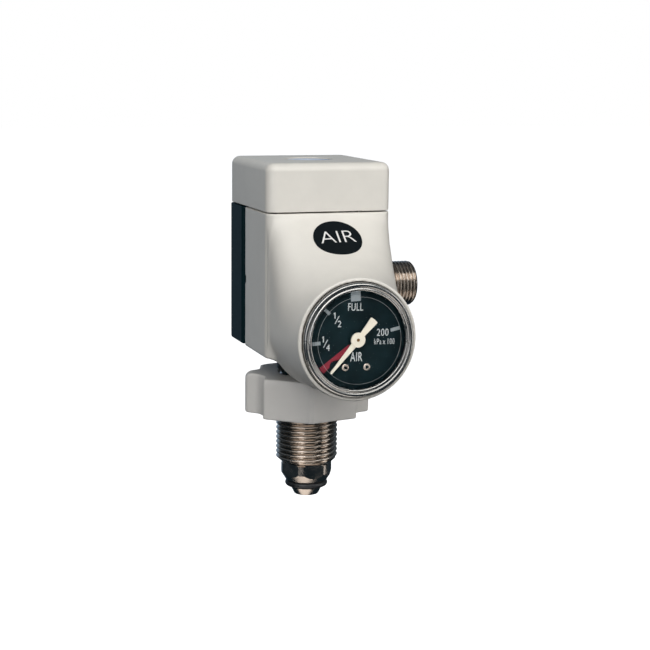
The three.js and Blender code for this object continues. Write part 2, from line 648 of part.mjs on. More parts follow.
function reliefPoppet() {
  return onReliefAxis(turned([
    [0, RELIEF_SEAT + 0.1], [2.4, RELIEF_SEAT + 0.1], [2.4, RELIEF_SEAT + 1.6],
    [1.1, RELIEF_SEAT + 2], [1.1, RELIEF_SEAT + 5], [0, RELIEF_SEAT + 5],
  ], 20));
}

function outletFitting() {
  const { start, end, radius } = OUTLET_SPIGOT;
  const collar = OUTLET_COLLAR;
  return facingRight(turned([
    [OUTLET_BORE, start], [radius, start], [radius, end], [collar.radius, end],
    [collar.radius, collar.end], [OUTLET_NECK_RADIUS, collar.end],
    [OUTLET_NECK_RADIUS, OUTLET_NECK_END - 0.4],
    ...threadFlank(OUTLET_THREAD_RADIUS, OUTLET_PITCH, OUTLET_NECK_END, OUTLET_END - 0.3),
    [7.4, OUTLET_END], [5.9, OUTLET_END], [OUTLET_BORE, OUTLET_END - 4],
  ])).translate(0, 0, OUTLET_Z);
}

function outletSealRing() {
  return facingRight(tube(8.05, 8.9, 20.8, 22.7)).translate(0, 0, OUTLET_Z);
}

piece('regulator_body', regulatorBody(), BRASS);
piece('bonnet', bonnet(), NICKEL);
piece('bullnose_stem', bullnoseStem(), NICKEL);
piece('nose_o_ring', ring(NOSE_RING.radius, NOSE_RING.thickness, NOSE_RING.height), BLACK_RUBBER);
piece('inlet_filter', tube(1.6, FILTER_POCKET_RADIUS - 0.1, 0.9, FILTER_TOP - 0.4, 20), BRONZE);
piece('thrust_washer', tube(STEM_RADIUS + 0.2, 9.8, WHEEL_TOP + 0.1, BOSS_BOTTOM - 0.2),
  DARK_TEAL);
piece('gland_nut', glandNut(), NICKEL);
piece('handwheel', handwheel(), OFF_WHITE);
piece('valve_seat', valveSeat(), WHITE_PLASTIC);
piece('valve_poppet', valvePoppet(), STEEL);
piece('poppet_spring', coilSpring(2.3, 0.3, STEM_TOP + 0.1, POPPET_HEAD - 0.1, 5), STEEL);
piece('piston_stop', pistonStop(), BRASS);
piece('piston', piston(), BRASS);
piece('piston_o_ring', ring(9.4, 0.65, 83.5), BLACK_RUBBER);
piece('main_spring', coilSpring(MAIN_SPRING_RADIUS, 1.0, PISTON_TOP + 0.1, BUTTON_RIM - 0.1, 4),
  STEEL);
piece('spring_button', springButton(), STEEL);
piece('adjusting_screw', adjustingScrew(), STEEL);
piece('relief_valve_body', reliefBody(), BRASS);
piece('relief_valve_cap',
  onReliefAxis(tube(0.9, RELIEF_RADIUS, RELIEF_TOP + 0.1, RELIEF_TOP + 1.6)), BRASS);
piece('relief_poppet', reliefPoppet(), BRASS);
piece('relief_spring',
  onReliefAxis(coilSpring(1.9, 0.3, RELIEF_SEAT + 2.1, RELIEF_TOP, 5)), STEEL);
piece('outlet_fitting', outletFitting(), NICKEL);
piece('outlet_seal_ring', outletSealRing(), BLACK_RUBBER);

// ---- contents gauge -----------------------------------------------------------------------

// The gauge is drawn about its own axis, in a group whose +Z runs out of the dial, +X to the
// right and +Y up, so that a depth in the group is minus a distance along Y.
const gauge = new THREE.Group();
gauge.position.set(0, 0, GAUGE_Z);
gauge.rotation.x = Math.PI / 2;
model.add(gauge);

function gaugeCase() {
  const back = -CASE_BACK;
  return turned([
    [CASE_HOLE, back], [CASE_RADIUS, back], [CASE_RADIUS, -CASE_FRONT],
    [CASE_RADIUS - CASE_SHEET, -CASE_FRONT], [CASE_RADIUS - CASE_SHEET, back + 1.2],
    [CASE_HOLE, back + 1.2],
  ], 28);
}

function gaugeBezel() {
  const inner = CASE_RADIUS + 0.15;
  return turned([
    [inner, -BEZEL_BACK], [BEZEL_RADIUS, -BEZEL_BACK], [BEZEL_RADIUS, -BEZEL_LIP],
    [19.1, -BEZEL_FRONT], [17.4, -BEZEL_FRONT], [16.7, -BEZEL_LIP], [inner, -BEZEL_LIP],
  ], 28);
}

function gaugeLens() {
  return turned([
    [0, -LENS_BACK], [15.6, -LENS_BACK], [15.6, 54.2], [18.9, 54.2], [18.9, 55.2], [16.3, 55.2],
    [16.3, 56.2], [LENS_STEP_RADIUS, 56.25], [LENS_STEP_RADIUS, -LENS_FRONT], [0, -LENS_FRONT],
  ], 28);
}

function gaugeSocket() {
  const neck = turned([
    [0, 11.2], [4.7, 11.2], [4.7, 18], [5.1, 26], [5.1, 37], [0, 37],
  ], 20);
  const nut = polygonPrism(6, 14, 17.3, 24, radians(30));
  const foot = block(-3.4, 3.4, -16.6, 2, 35.6, 39.8);
  const pedestal = block(-3, 3, -8, 2, 39, 41.9);
  return cut(joined(neck, nut, foot, pedestal), rod(0.8, 10, 36, 12));
}

// A flattened C-shaped tube, from the socket's foot clockwise round to its free tip.
function bourdonTube() {
  const start = radians(-100);
  const sweep = radians(-250);
  const arc = new THREE.Curve();
  arc.getPoint = (t, target = new THREE.Vector3()) => {
    const angle = start + sweep * t;
    return target.set(TUBE_RADIUS * Math.cos(angle), TUBE_RADIUS * Math.sin(angle), TUBE_DEPTH);
  };
  const oval = new THREE.Shape().absellipse(0, 0, 2.2, 0.9, 0, 2 * Math.PI);
  const options = { steps: 20, bevelEnabled: false, curveSegments: 3, extrudePath: arc };
  return new THREE.ExtrudeGeometry(oval, options);
}

function arborHoles(depth) {
  const radius = ARBOR_RADIUS + 0.08;
  return [0, SECTOR_PIVOT_Z]
    .map((y) => rod(radius, depth - PAST, depth + 2 * PAST, 12).translate(0, y, 0));
}

function movementPlate(depth) {
  const plate = extruded(roundedRectangle(-7.5, 7.5, -11.8, 4, 2), depth, depth + PLATE_THICKNESS, 4);
  return cut(plate, ...arborHoles(depth));
}

// A tooth is a corner list of [share of a tooth pitch, radius].
function toothCorners(root, tip) {
  return [[-0.24, root], [-0.1, tip], [0.1, tip], [0.24, root]];
}

function pinionSpindle() {
  const shaft = rod(ARBOR_RADIUS, BACK_PLATE, SPINDLE_END, 16);
  const outline = new THREE.Shape();
  for (let tooth = 0; tooth < SPINDLE_TEETH; tooth += 1) {
    toothCorners(1.05, 1.75).forEach(([share, radius], corner) => {
      const angle = (tooth + share + 0.5) * 2 * Math.PI / SPINDLE_TEETH;
      const method = tooth || corner ? 'lineTo' : 'moveTo';
      outline[method](radius * Math.cos(angle), radius * Math.sin(angle));
    });
  }
  return joined(shaft, extruded(outline, 46.0, 47.6));
}

// Angle between two teeth of the sector, whose pitch circle meets the spindle's.
const SPINDLE_PITCH_RADIUS = SPINDLE_TEETH * TOOTH_PITCH / (2 * Math.PI);
const SECTOR_PITCH_RADIUS = -SECTOR_PIVOT_Z - SPINDLE_PITCH_RADIUS;
const SECTOR_TOOTH_ANGLE = TOOTH_PITCH / SECTOR_PITCH_RADIUS;
const SECTOR_REST = -3 * SECTOR_TOOTH_ANGLE;

// A toothed arc about the arbor below the spindle, with a tail that the link is pinned to.
function sectorGear() {
  const outline = new THREE.Shape();
  outline.moveTo(-1.5, -TAIL_LENGTH - 1);
  outline.lineTo(1.5, -TAIL_LENGTH - 1);
  outline.lineTo(1.9, 1);
  for (let tooth = 0; tooth < SECTOR_TEETH; tooth += 1) {
    const middle = tooth - (SECTOR_TEETH - 1) / 2;
    for (const [share, radius] of toothCorners(7.6, 8.3)) {
      const angle = Math.PI / 2 + (middle + share) * SECTOR_TOOTH_ANGLE;
      outline.lineTo(radius * Math.cos(angle), radius * Math.sin(angle));
    }
  }
  outline.lineTo(-1.9, 1);
  outline.closePath();
  const plate = joined(extruded(outline, 46.3, 47.3), rod(ARBOR_RADIUS, BACK_PLATE, FRONT_PLATE + 0.6, 16));
  return plate.rotateZ(SECTOR_REST).translate(0, SECTOR_PIVOT_Z, 0);
}

// From the sector's tail to the Bourdon tube's tip.
function linkRod() {
  const tailAngle = -Math.PI / 2 + SECTOR_REST;
  const tail = [TAIL_LENGTH * Math.cos(tailAngle), SECTOR_PIVOT_Z + TAIL_LENGTH * Math.sin(tailAngle)];
  const tip = [LINK_TIP_RADIUS * Math.cos(radians(8)), LINK_TIP_RADIUS * Math.sin(radians(8))];
  const length = Math.hypot(tip[0] - tail[0], tip[1] - tail[1]);
  const bar = extruded(roundedRectangle(-0.5, length + 0.5, -0.5, 0.5, 0.45), 44.9, 45.4, 3);
  const pin = rod(0.35, 45.2, 46.2, 12);
  const direction = Math.atan2(tip[1] - tail[1], tip[0] - tail[0]);
  return joined(bar, pin).rotateZ(direction).translate(...tail, 0);
}

// The flat spiral spring on the spindle.
function hairspring() {
  const spiral = new THREE.Curve();
  spiral.getPoint = (t, target = new THREE.Vector3()) => {
    const angle = 2 * Math.PI * 3 * t;
    const radius = 0.75 + 3 * t;
    return target.set(radius * Math.cos(angle), radius * Math.sin(angle), 48.3);
  };
  return wire(spiral, 0.15, 33, 4);
}

const onDial = (geometry) => geometry.rotateZ(radians(DIAL_TURN));

function gaugeDial() {
  const holes = Object.values(DIAL_SCREW_PLACES)
    .map((x) => onDial(rod(0.7, 52, 54, 12).translate(x, DIAL_SCREW_Y, 0)));
  return cut(rod(DIAL_RADIUS, 52.9, -DIAL_FRONT, 28), rod(1.2, 52, 54, 16), ...holes);
}

function dialScrew(x) {
  const screw = turned([
    [0, 50.1], [0.55, 50.1], [0.55, 53.5], [1.3, 53.5], [1.1, 54.0], [0, 54.0],
  ], 16);
  const slot = block(-1.5, 1.5, -0.15, 0.15, 53.75, 54.5);
  return onDial(cut(screw, slot).translate(x, DIAL_SCREW_Y, 0));
}

function pointer() {
  const hand = new THREE.Shape();
  const half = [[0.3, POINTER_LENGTH], [1.15, 0], [1.0, -3.2], [2.2, -8.4]];
  hand.moveTo(-half[0][0], half[0][1]);
  half.slice(1).forEach(([x, y]) => hand.lineTo(-x, y));
  half.toReversed().forEach(([x, y]) => hand.lineTo(x, y));
  const blade = extruded(hand, 54.35, 54.7);
  const hub = rod(2.3, 54.25, 55.0);
  return cut(joined(blade, hub), rod(0.7, 54, 54.5, 16)).rotateZ(radians(-POINTER_REST));
}

piece('gauge_case', gaugeCase(), STEEL, gauge);
piece('gauge_bezel', gaugeBezel(), CHROME, gauge);
piece('gauge_lens', gaugeLens(), CLEAR, gauge);
piece('lens_gasket', tube(17.6, 18.8, -CASE_FRONT + 0.1, 54.1), BLACK_RUBBER, gauge);
piece('gauge_socket', gaugeSocket(), BRASS, gauge);
piece('bourdon_tube', bourdonTube(), BRASS, gauge);
piece('movement_back_plate', movementPlate(BACK_PLATE), BRASS, gauge);
piece('movement_front_plate', movementPlate(FRONT_PLATE), BRASS, gauge);
[[-6, -10], [-6, 2.5], [6, 2.5]].forEach(([x, y], i) => {
  const post = rod(0.9, BACK_PLATE + PLATE_THICKNESS + 0.1, FRONT_PLATE - 0.1, 16);
  piece(`movement_post_${i + 1}`, post.translate(x, y, 0), BRASS, gauge);
});
piece('pinion_spindle', pinionSpindle(), STEEL, gauge);
piece('sector_gear', sectorGear(), BRASS, gauge);
piece('link_rod', linkRod(), BRASS, gauge);
piece('hairspring', hairspring(), STEEL, gauge);
piece('gauge_dial', gaugeDial(), DIAL_BLACK, gauge);
for (const [name, x] of Object.entries(DIAL_SCREW_PLACES)) {
  piece(name, dialScrew(x), NICKEL, gauge);
}
piece('pointer', pointer(), IVORY, gauge);

export default model;
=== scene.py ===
"""Looks of a gas-cylinder air pressure regulator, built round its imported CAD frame.

Sizes here are millimetres along the frame's axes; MM turns them into Blender's metres.
Angles are degrees.
"""
import json
import math

import bmesh
import bpy
import numpy as np
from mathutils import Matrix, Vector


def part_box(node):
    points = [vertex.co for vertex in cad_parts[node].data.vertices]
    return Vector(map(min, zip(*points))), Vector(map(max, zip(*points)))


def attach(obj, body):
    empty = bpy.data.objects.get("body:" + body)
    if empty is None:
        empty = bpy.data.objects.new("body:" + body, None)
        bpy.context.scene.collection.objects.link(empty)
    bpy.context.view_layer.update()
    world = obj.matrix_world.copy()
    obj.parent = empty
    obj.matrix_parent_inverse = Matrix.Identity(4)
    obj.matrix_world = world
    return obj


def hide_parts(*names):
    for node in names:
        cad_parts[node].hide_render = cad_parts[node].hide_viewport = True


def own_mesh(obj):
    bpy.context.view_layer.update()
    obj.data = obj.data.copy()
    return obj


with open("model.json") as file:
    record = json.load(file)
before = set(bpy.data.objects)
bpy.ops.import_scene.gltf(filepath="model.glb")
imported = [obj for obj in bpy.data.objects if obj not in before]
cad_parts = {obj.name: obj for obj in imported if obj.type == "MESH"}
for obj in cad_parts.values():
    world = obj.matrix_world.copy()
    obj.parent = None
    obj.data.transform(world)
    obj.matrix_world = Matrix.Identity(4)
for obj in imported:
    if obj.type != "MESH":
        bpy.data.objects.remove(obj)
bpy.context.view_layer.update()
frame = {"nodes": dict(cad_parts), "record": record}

import openvdb
from mathutils import Matrix

MM = 0.001
HOUSING = "housing"


def box_mm(node):
    """The lowest and highest corner of a CAD node, in millimetres."""
    low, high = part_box(node)
    return np.array(low) / MM, np.array(high) / MM


# ---- driving dimensions, taken from the frame ----

COVER_LOW, COVER_HIGH = box_mm("front_cover")
REAR_LOW, REAR_HIGH = box_mm("rear_cover")
CAP_LOW, CAP_HIGH = box_mm("top_cap")
BEZEL_LOW, BEZEL_HIGH = box_mm("gauge_bezel")
GLAND_LOW, GLAND_HIGH = box_mm("gland_nut")
WHEEL_LOW, WHEEL_HIGH = box_mm("handwheel")
OUTLET_LOW, OUTLET_HIGH = box_mm("outlet_fitting")
DIAL_LOW, DIAL_HIGH = box_mm("gauge_dial")
LABEL_LOW, LABEL_HIGH = box_mm("air_label")

HALF_WIDTH = CAP_HIGH[0]
FRONT = CAP_LOW[1]
BACK = CAP_HIGH[1]
REAR_BACK = REAR_HIGH[1]
BODY_BOTTOM = REAR_LOW[2]
COVER_TOP = REAR_HIGH[2]
RIM_Y = COVER_LOW[1]
SPLIT_FRONT = COVER_HIGH[1]
SPLIT_BACK = SPLIT_FRONT + 4
GAUGE_Z = (BEZEL_LOW[2] + BEZEL_HIGH[2]) / 2
OUTLET_Z = (OUTLET_LOW[2] + OUTLET_HIGH[2]) / 2
DIAL_Y = DIAL_LOW[1]

CORNER_RADIUS = 3.5
BOTTOM_EDGE = 0.7
WALL = 2.2
FLOOR = 1.6
LIP_INSET = 1.2
PAST = 5

OUTLET_HOLE = 9.03
OUTLET_HOLE_START = 10
BOSS_HOLE = 11.7
BOSS_HOLE_TOP = 60
NOTCH_Z = 81.5
NOTCH_HALF_HEIGHT = 1.3
NOTCH_DEPTH = 1.2
NOTCH_LENGTH = 0.8

RIM_RADIUS = 21.1
HOOD_ROOT_RADIUS = 22.5
HOOD_TOP = COVER_TOP - 0.3
HOOD_BORE = 19.95
HOOD_BORE_BACK = -33
HOOD_BLEND = 2.4
HOOD_OVERLAP = 0.2
HOOD_FALL_POWER = 1.7
HOOD_SQUARENESS = 6
HOOD_SQUARE_FADE = 4
HOOD_SLOPE = 0.86

SCREW_TIP_Y = 13.2
SCREW_SHANK = 1.3
SCREW_HEAD = 2.9
SCREW_RECESS = 0.9
SCREW_HEAD_INSET = 0.9
SCREW_HOLE = 1.6
SCREW_SINK = 3.2
SCREW_SINK_DEPTH = 2.3
SCREW_SINK_SLOPE = 0.9
SCREW_BOSS = 3.6
SCREW_BOSS_Y = 18.2
SCREW_BOSS_INSET = 1

# ---- mesh building ----


def ring_angles(count):
    return np.arange(count) * 2 * math.pi / count


def loft(loops, closed=True):
    """Quads between neighbouring loops of one point count. closed joins the last to the first."""
    loops = np.asarray(loops, float)
    rows, count = loops.shape[:2]
    index = np.arange(rows * count).reshape(rows, count)
    faces = []
    for i in range(rows if closed else rows - 1):
        here, there = index[i], index[(i + 1) % rows]
        quads = np.stack([here, np.roll(here, -1), np.roll(there, -1), there], axis=1)
        faces.extend(quads.tolist())
    return loops.reshape(-1, 3), faces


def rounded(corners, steps=4):
    """A closed outline with its corners rounded. Each corner is (x, y) or (x, y, cut length)."""
    outline = []
    count = len(corners)
    for i, corner in enumerate(corners):
        point = np.array(corner[:2], float)
        cut = corner[2] if len(corner) > 2 else 0
        if cut <= 0:
            outline.append(point)
            continue
        before = np.array(corners[i - 1][:2], float) - point
        after = np.array(corners[(i + 1) % count][:2], float) - point
        lengths = np.linalg.norm(before), np.linalg.norm(after)
        cut = min(cut, 0.48 * lengths[0], 0.48 * lengths[1])
        start = point + before / lengths[0] * cut
        end = point + after / lengths[1] * cut
        for t in np.linspace(0, 1, steps + 1):
            outline.append((1 - t) ** 2 * start + 2 * t * (1 - t) * point + t * t * end)
    return np.array(outline)


def turned(profile, count=128, steps=4):
    """Points and faces of a ring or solid of revolution about Z, from (radius, height, cut)."""
    return polar_loft(rounded(profile, steps), count)


def polar_loft(rows, count):
    """Loops about Z from rows of (radius, height), either of which may vary with the angle."""
    angle = ring_angles(count)
    loops = []
    for radius, height in rows:
        across = np.broadcast_to(radius, count)
        tall = np.broadcast_to(height, count)
        loops.append(np.stack([across * np.cos(angle), across * np.sin(angle), tall], axis=1))
    return loft(loops)


def to_front(shape):
    """A shape drawn in the gauge's own axes, with +Z out of the dial, in the frame's."""
    x, y, z = np.asarray(shape[0], float).T
    return np.stack([x, -z, GAUGE_Z + y], axis=1), shape[1]


def to_right(shape):
    """A shape drawn with +Z out of the outlet, in the frame's axes."""
    x, y, z = np.asarray(shape[0], float).T
    return np.stack([z, y, OUTLET_Z - x], axis=1), shape[1]


def to_back(shape, height):
    """A shape drawn with +Z out of the back, in the frame's axes, on a line at this height."""
    x, y, z = np.asarray(shape[0], float).T
    return np.stack([x, z, height - y], axis=1), shape[1]


def shaded_mesh(name, points, faces, sharp):
    """A welded mesh in metres, smooth but for edges that turn more than sharp."""
    mesh = bpy.data.meshes.new(name)
    mesh.from_pydata((np.asarray(points) * MM).tolist(), [], [tuple(f) for f in faces])
    work = bmesh.new()
    work.from_mesh(mesh)
    bmesh.ops.remove_doubles(work, verts=work.verts, dist=1e-3 * MM)
    bmesh.ops.recalc_face_normals(work, faces=work.faces)
    limit = math.radians(sharp)
    for face in work.faces:
        face.smooth = True
    for edge in work.edges:
        edge.smooth = len(edge.link_faces) == 2 and edge.calc_face_angle() < limit
    work.to_mesh(mesh)
    work.free()
    return mesh


def new_object(name, data):
    thing = bpy.data.objects.new(name, data)
    bpy.context.scene.collection.objects.link(thing)
    return thing


def add_piece(name, shape, material, body, replaces=(), sharp=40):
    """A piece from (points, faces) that rides on a body and may stand for CAD nodes."""
    mesh = shaded_mesh(name, shape[0], shape[1], sharp)
    piece = new_object(name, mesh)
    mesh.materials.append(material)
    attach(piece, body)
    if replaces:
        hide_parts(*replaces)
    return piece


def joined(*shapes):
    points, faces, start = [], [], 0
    for some_points, some_faces in shapes:
        points.append(np.asarray(some_points, float))
        faces.extend([[start + i for i in face] for face in some_faces])
        start += len(some_points)
    return np.concatenate(points), faces


def plate(outline, bottom, top, bevel=0.0, steps=2):
    """A flat outline extruded between two heights, with its upper edge bevelled."""
    outline = np.asarray(outline, float)
    work = bmesh.new()
    base = [work.verts.new((x, y, bottom)) for x, y in outline]
    work.faces.new(base)
    lifted = bmesh.ops.extrude_face_region(work, geom=list(work.faces))
    upper = [v for v in lifted["geom"] if isinstance(v, bmesh.types.BMVert)]
    for vertex in upper:
        vertex.co.z = top
    if bevel:
        rim = [e for e in work.edges if all(v.co.z == top for v in e.verts)]
        bmesh.ops.bevel(work, geom=rim, offset=bevel, segments=steps, affect="EDGES", profile=0.5)
    work.verts.index_update()
    points = [tuple(v.co) for v in work.verts]
    faces = [[v.index for v in face.verts] for face in work.faces]
    work.free()
    return points, faces


# ---- distance fields, for the moulded covers ----


def blend_union(a, b, reach):
    share = np.clip(0.5 + 0.5 * (b - a) / reach, 0, 1)
    return b + (a - b) * share - reach * share * (1 - share)


def blend_cut(a, b, reach=0.5):
    """a without b, with the edge between them eased."""
    return -blend_union(-a, b, reach)


def enclosure_field(x, y, z, inset=0.0, floor=0.0, back=BACK):
    """The enclosure as a rounded box with no top, open to any height."""
    bottom = BODY_BOTTOM + floor
    radius = max(CORNER_RADIUS - inset, 1.0)
    middle = (FRONT + back) / 2
    across = np.abs(x) - (HALF_WIDTH - inset - radius)
    along = np.abs(y - middle) - ((back - FRONT) / 2 - inset - radius)
    outside = np.hypot(np.maximum(across, 0), np.maximum(along, 0))
    sides = outside + np.minimum(np.maximum(across, along), 0) - radius
    under = bottom - z
    corner = np.hypot(np.maximum(sides + BOTTOM_EDGE, 0), np.maximum(under + BOTTOM_EDGE, 0))
    return corner + np.minimum(np.maximum(sides, under) + BOTTOM_EDGE, 0) - BOTTOM_EDGE


def hood_field(x, y, z):
    """The gauge hood: round below the gauge axis, and an arch above it that grows rounder."""
    share = np.clip((FRONT - y) / (FRONT - RIM_Y), 0, 1.05)
    left = np.maximum(0, 1 - share)
    half = HOOD_ROOT_RADIUS + (RIM_RADIUS - HOOD_ROOT_RADIUS) * share
    tall = RIM_RADIUS + (HOOD_TOP - GAUGE_Z - RIM_RADIUS) * left ** HOOD_FALL_POWER
    power = 2 + HOOD_SQUARENESS * left ** HOOD_SQUARE_FADE
    up = z - GAUGE_Z
    reach = np.hypot(x, up) + 1e-6
    wide = np.abs(x) / half + 1e-9
    arch = (wide ** power + (np.maximum(up, 0) / tall) ** power) ** (1 / power)
    bowl = reach / half
    size = np.where(up > 0, arch, bowl)
    return reach * (1 - 1 / np.maximum(size, 0.05)) * HOOD_SLOPE


def cylinder_field(a, b, radius):
    return np.hypot(a, b) - radius


def cover_skin(x, y, z):
    """The front cover's outside, without its cut planes."""
    box = enclosure_field(x, y, z)
    hood = np.maximum(hood_field(x, y, z), y - FRONT - HOOD_OVERLAP)
    return blend_union(box, hood, HOOD_BLEND)


def with_openings(body, x, y, z):
    """A cover with its openings for the outlet and for the block's lower boss."""
    outlet = np.maximum(cylinder_field(y, z - OUTLET_Z, OUTLET_HOLE), OUTLET_HOLE_START - x)
    boss = np.maximum(cylinder_field(x, y, BOSS_HOLE), z - BOSS_HOLE_TOP)
    return blend_cut(blend_cut(body, outlet), boss)


def front_cover_field(x, y, z):
    skin = cover_skin(x, y, z)
    body = blend_cut(skin, y - RIM_Y, reach=0.7)
    inside = np.maximum(skin + WALL, z - COVER_TOP - PAST)
    body = blend_cut(body, inside, reach=0.4)
    bore = np.maximum(cylinder_field(x, z - GAUGE_Z, HOOD_BORE), y - HOOD_BORE_BACK)
    body = with_openings(blend_cut(body, bore, reach=0.35), x, y, z)
    notch = np.maximum(np.abs(z - NOTCH_Z) - NOTCH_HALF_HEIGHT, SPLIT_FRONT - NOTCH_LENGTH - y)
    notch = np.maximum(notch, x + HALF_WIDTH - NOTCH_DEPTH)
    body = blend_cut(body, notch, reach=0.2)
    body = blend_cut(body, SPLIT_FRONT - y, reach=0.35)
    return blend_cut(body, COVER_TOP - z, reach=0.15)


def rear_cover_field(x, y, z):
    """The rear cover, with a lip that reaches forward inside the front cover."""
    skin = blend_cut(enclosure_field(x, y, z, back=REAR_BACK), y - SPLIT_BACK, reach=0.4)
    lip = enclosure_field(x, y, z, inset=LIP_INSET, floor=0.1)
    lip = np.maximum(lip, SPLIT_FRONT + 0.3 - y)
    inside = enclosure_field(x, y, z, WALL + LIP_INSET, FLOOR, REAR_BACK)
    body = np.maximum(np.minimum(skin, lip), -inside)
    for height in screw_heights():
        boss = np.maximum(cylinder_field(x, z - height, SCREW_BOSS), SCREW_BOSS_Y - y)
        body = np.minimum(body, np.maximum(boss, y - REAR_BACK + SCREW_BOSS_INSET))
    body = with_openings(body, x, y, z)
    for height in screw_heights():
        reach = np.hypot(x, z - height)
        shaft = reach - SCREW_HOLE
        cone = REAR_BACK - SCREW_SINK_DEPTH + np.maximum(shaft, 0) * SCREW_SINK_SLOPE
        sink = np.maximum(reach - SCREW_SINK, cone - y)
        body = np.maximum(body, -np.minimum(shaft, sink))
    return blend_cut(body, COVER_TOP - z, reach=0.3)


def screw_heights():
    """How high the two cover screws stand."""
    middles = []
    for node in ("cover_screw_lower", "cover_screw_upper"):
        low, high = box_mm(node)
        middles.append((low[2] + high[2]) / 2)
    return middles


def field_gradient(field, points, step=0.02):
    slopes = []
    for axis in range(3):
        shift = np.zeros(3)
        shift[axis] = step
        ahead = field(*(points + shift).T)
        behind = field(*(points - shift).T)
        slopes.append((ahead - behind) / (2 * step))
    return np.stack(slopes, axis=1)


def on_surface(field, points, rounds=3):
    """Moves points to where the field is zero, along its slope."""
    for _ in range(rounds):
        slope = field_gradient(field, points)
        steep = np.maximum((slope ** 2).sum(1), 0.2)
        step = (field(*points.T) / steep)[:, None] * slope
        length = np.linalg.norm(step, axis=1, keepdims=True)
        points = points - step * np.minimum(1, 0.3 / np.maximum(length, 1e-9))
    return points


def moulded(field, low, high, voxel):
    """The surface where a field is zero, inside a box, as quads about a voxel wide."""
    low = np.asarray(low, float) - 2 * voxel
    size = np.ceil((np.asarray(high, float) + 2 * voxel - low) / voxel).astype(int)
    lines = [low[i] + voxel * np.arange(size[i]) for i in range(3)]
    values = field(*np.meshgrid(*lines, indexing="ij"))
    grid = openvdb.FloatGrid(background=3 * voxel)
    grid.copyFromArray(np.clip(values, -3 * voxel, 3 * voxel).astype(np.float32))
    points, quads = grid.convertToQuads(isovalue=0.0)
    points = low + np.asarray(points, float) * voxel
    return on_surface(field, points), quads.tolist()


# ---- materials ----


def add_node(tree, kind, **values):
    """A new shader node with some inputs set. An underscore stands for a space."""
    node = tree.nodes.new("ShaderNode" + kind)
    for name, value in values.items():
        node.inputs[name.replace("_", " ")].default_value = value
    return node


def set_ramp(node, *stops):
    for element, (position, colour) in zip(node.color_ramp.elements, stops):
        element.position = position
        element.color = (*colour, 1)


class Nodes:
    """Short calls for building one material's nodes."""

    def __init__(self, name):
        self.material = bpy.data.materials.new(name)
        self.material.use_nodes = True
        self.tree = self.material.node_tree
        self.shader = self.tree.nodes["Principled BSDF"]
        self.place = add_node(self.tree, "TexCoord").outputs["Object"]

    def set(self, name, value):
        self.shader.inputs[name].default_value = value

    def drive(self, name, source):
        """Links a source to one of the shader's inputs."""
        self.tree.links.new(source, self.shader.inputs[name])

    def noise(self, size, detail, roughness=0.55):
        """Noise whose features are about size millimetres wide."""
        node = add_node(self.tree, "TexNoise", Scale=1 / (size * MM), Detail=detail,
                        Roughness=roughness)
        self.tree.links.new(self.place, node.inputs["Vector"])
        return node.outputs["Fac"]

    def ramp(self, source, low, high):
        """Maps the middle of a noise's range to colours."""
        node = add_node(self.tree, "ValToRGB")
        set_ramp(node, (0.35, low), (0.65, high))
        self.tree.links.new(source, node.inputs["Fac"])
        return node.outputs["Color"]

    def span(self, source, low, high):
        """Maps the middle of a noise's range to numbers."""
        node = add_node(self.tree, "MapRange", From_Min=0.3, From_Max=0.7, To_Min=low, To_Max=high)
        self.tree.links.new(source, node.inputs["Value"])
        return node.outputs["Result"]

    def bump(self, source, height, strength, after=None):
        """Relief this many millimetres high, on top of an earlier bump if there is one."""
        node = add_node(self.tree, "Bump", Distance=height * MM, Strength=strength)
        self.tree.links.new(source, node.inputs["Height"])
        if after:
            self.tree.links.new(after, node.inputs["Normal"])
        self.drive("Normal", node.outputs["Normal"])
        return node.outputs["Normal"]


def darker(colour, share):
    return tuple(c * share for c in colour)


def plastic(name, colour, roughness, grain=0.35, relief=0.004, mottle=0.96, ior=1.5):
    """Moulded plastic or ink: a fine grain, a slow ripple and slow shade changes."""
    nodes = Nodes(name)
    cloud = nodes.noise(size=9, detail=4)
    nodes.drive("Base Color", nodes.ramp(cloud, darker(colour, mottle), colour))
    fine = nodes.noise(grain, detail=2, roughness=0.7)
    nodes.drive("Roughness", nodes.span(fine, roughness - 0.05, roughness + 0.07))
    slow = nodes.bump(nodes.noise(size=6, detail=2), height=0.02, strength=0.35)
    nodes.bump(fine, relief, strength=0.6, after=slow)
    nodes.set("IOR", ior)
    return nodes.material


def metal(name, colour, roughness, scratch=0.001, grain=0.8, tone=0.82):
    """Metal with a faint grain, and tarnish that dulls it in patches."""
    nodes = Nodes(name)
    patches = nodes.noise(size=4, detail=4)
    nodes.drive("Base Color", nodes.ramp(patches, darker(colour, tone), colour))
    nodes.set("Metallic", 1.0)
    fine = nodes.noise(grain, detail=1, roughness=0.5)
    nodes.drive("Roughness", nodes.span(fine, roughness * 0.75, roughness * 1.4))
    nodes.bump(fine, scratch, strength=0.7)
    return nodes.material


def rubber():
    """Black rubber, duller where dust lies on it."""
    nodes = Nodes("black_rubber")
    dust = nodes.noise(size=1.2, detail=4)
    colour = nodes.ramp(dust, (0.008, 0.009, 0.011), (0.02, 0.022, 0.025))
    nodes.drive("Base Color", colour)
    nodes.drive("Roughness", nodes.span(dust, 0.32, 0.55))
    nodes.bump(nodes.noise(size=0.2, detail=2), height=0.004, strength=0.5)
    return nodes.material


def window_plastic():
    """Clear acrylic: nearly all light goes straight through, and the rest is gloss."""
    nodes = Nodes("clear_plastic")
    smears = nodes.noise(size=5, detail=3)
    nodes.drive("Base Color", nodes.ramp(smears, (0.95, 0.97, 0.97), (1, 1, 1)))
    nodes.drive("Roughness", nodes.span(smears, 0.02, 0.05))
    nodes.set("Transmission Weight", 1.0)
    nodes.set("IOR", 1.1)
    nodes.set("Alpha", 0.25)
    return nodes.material


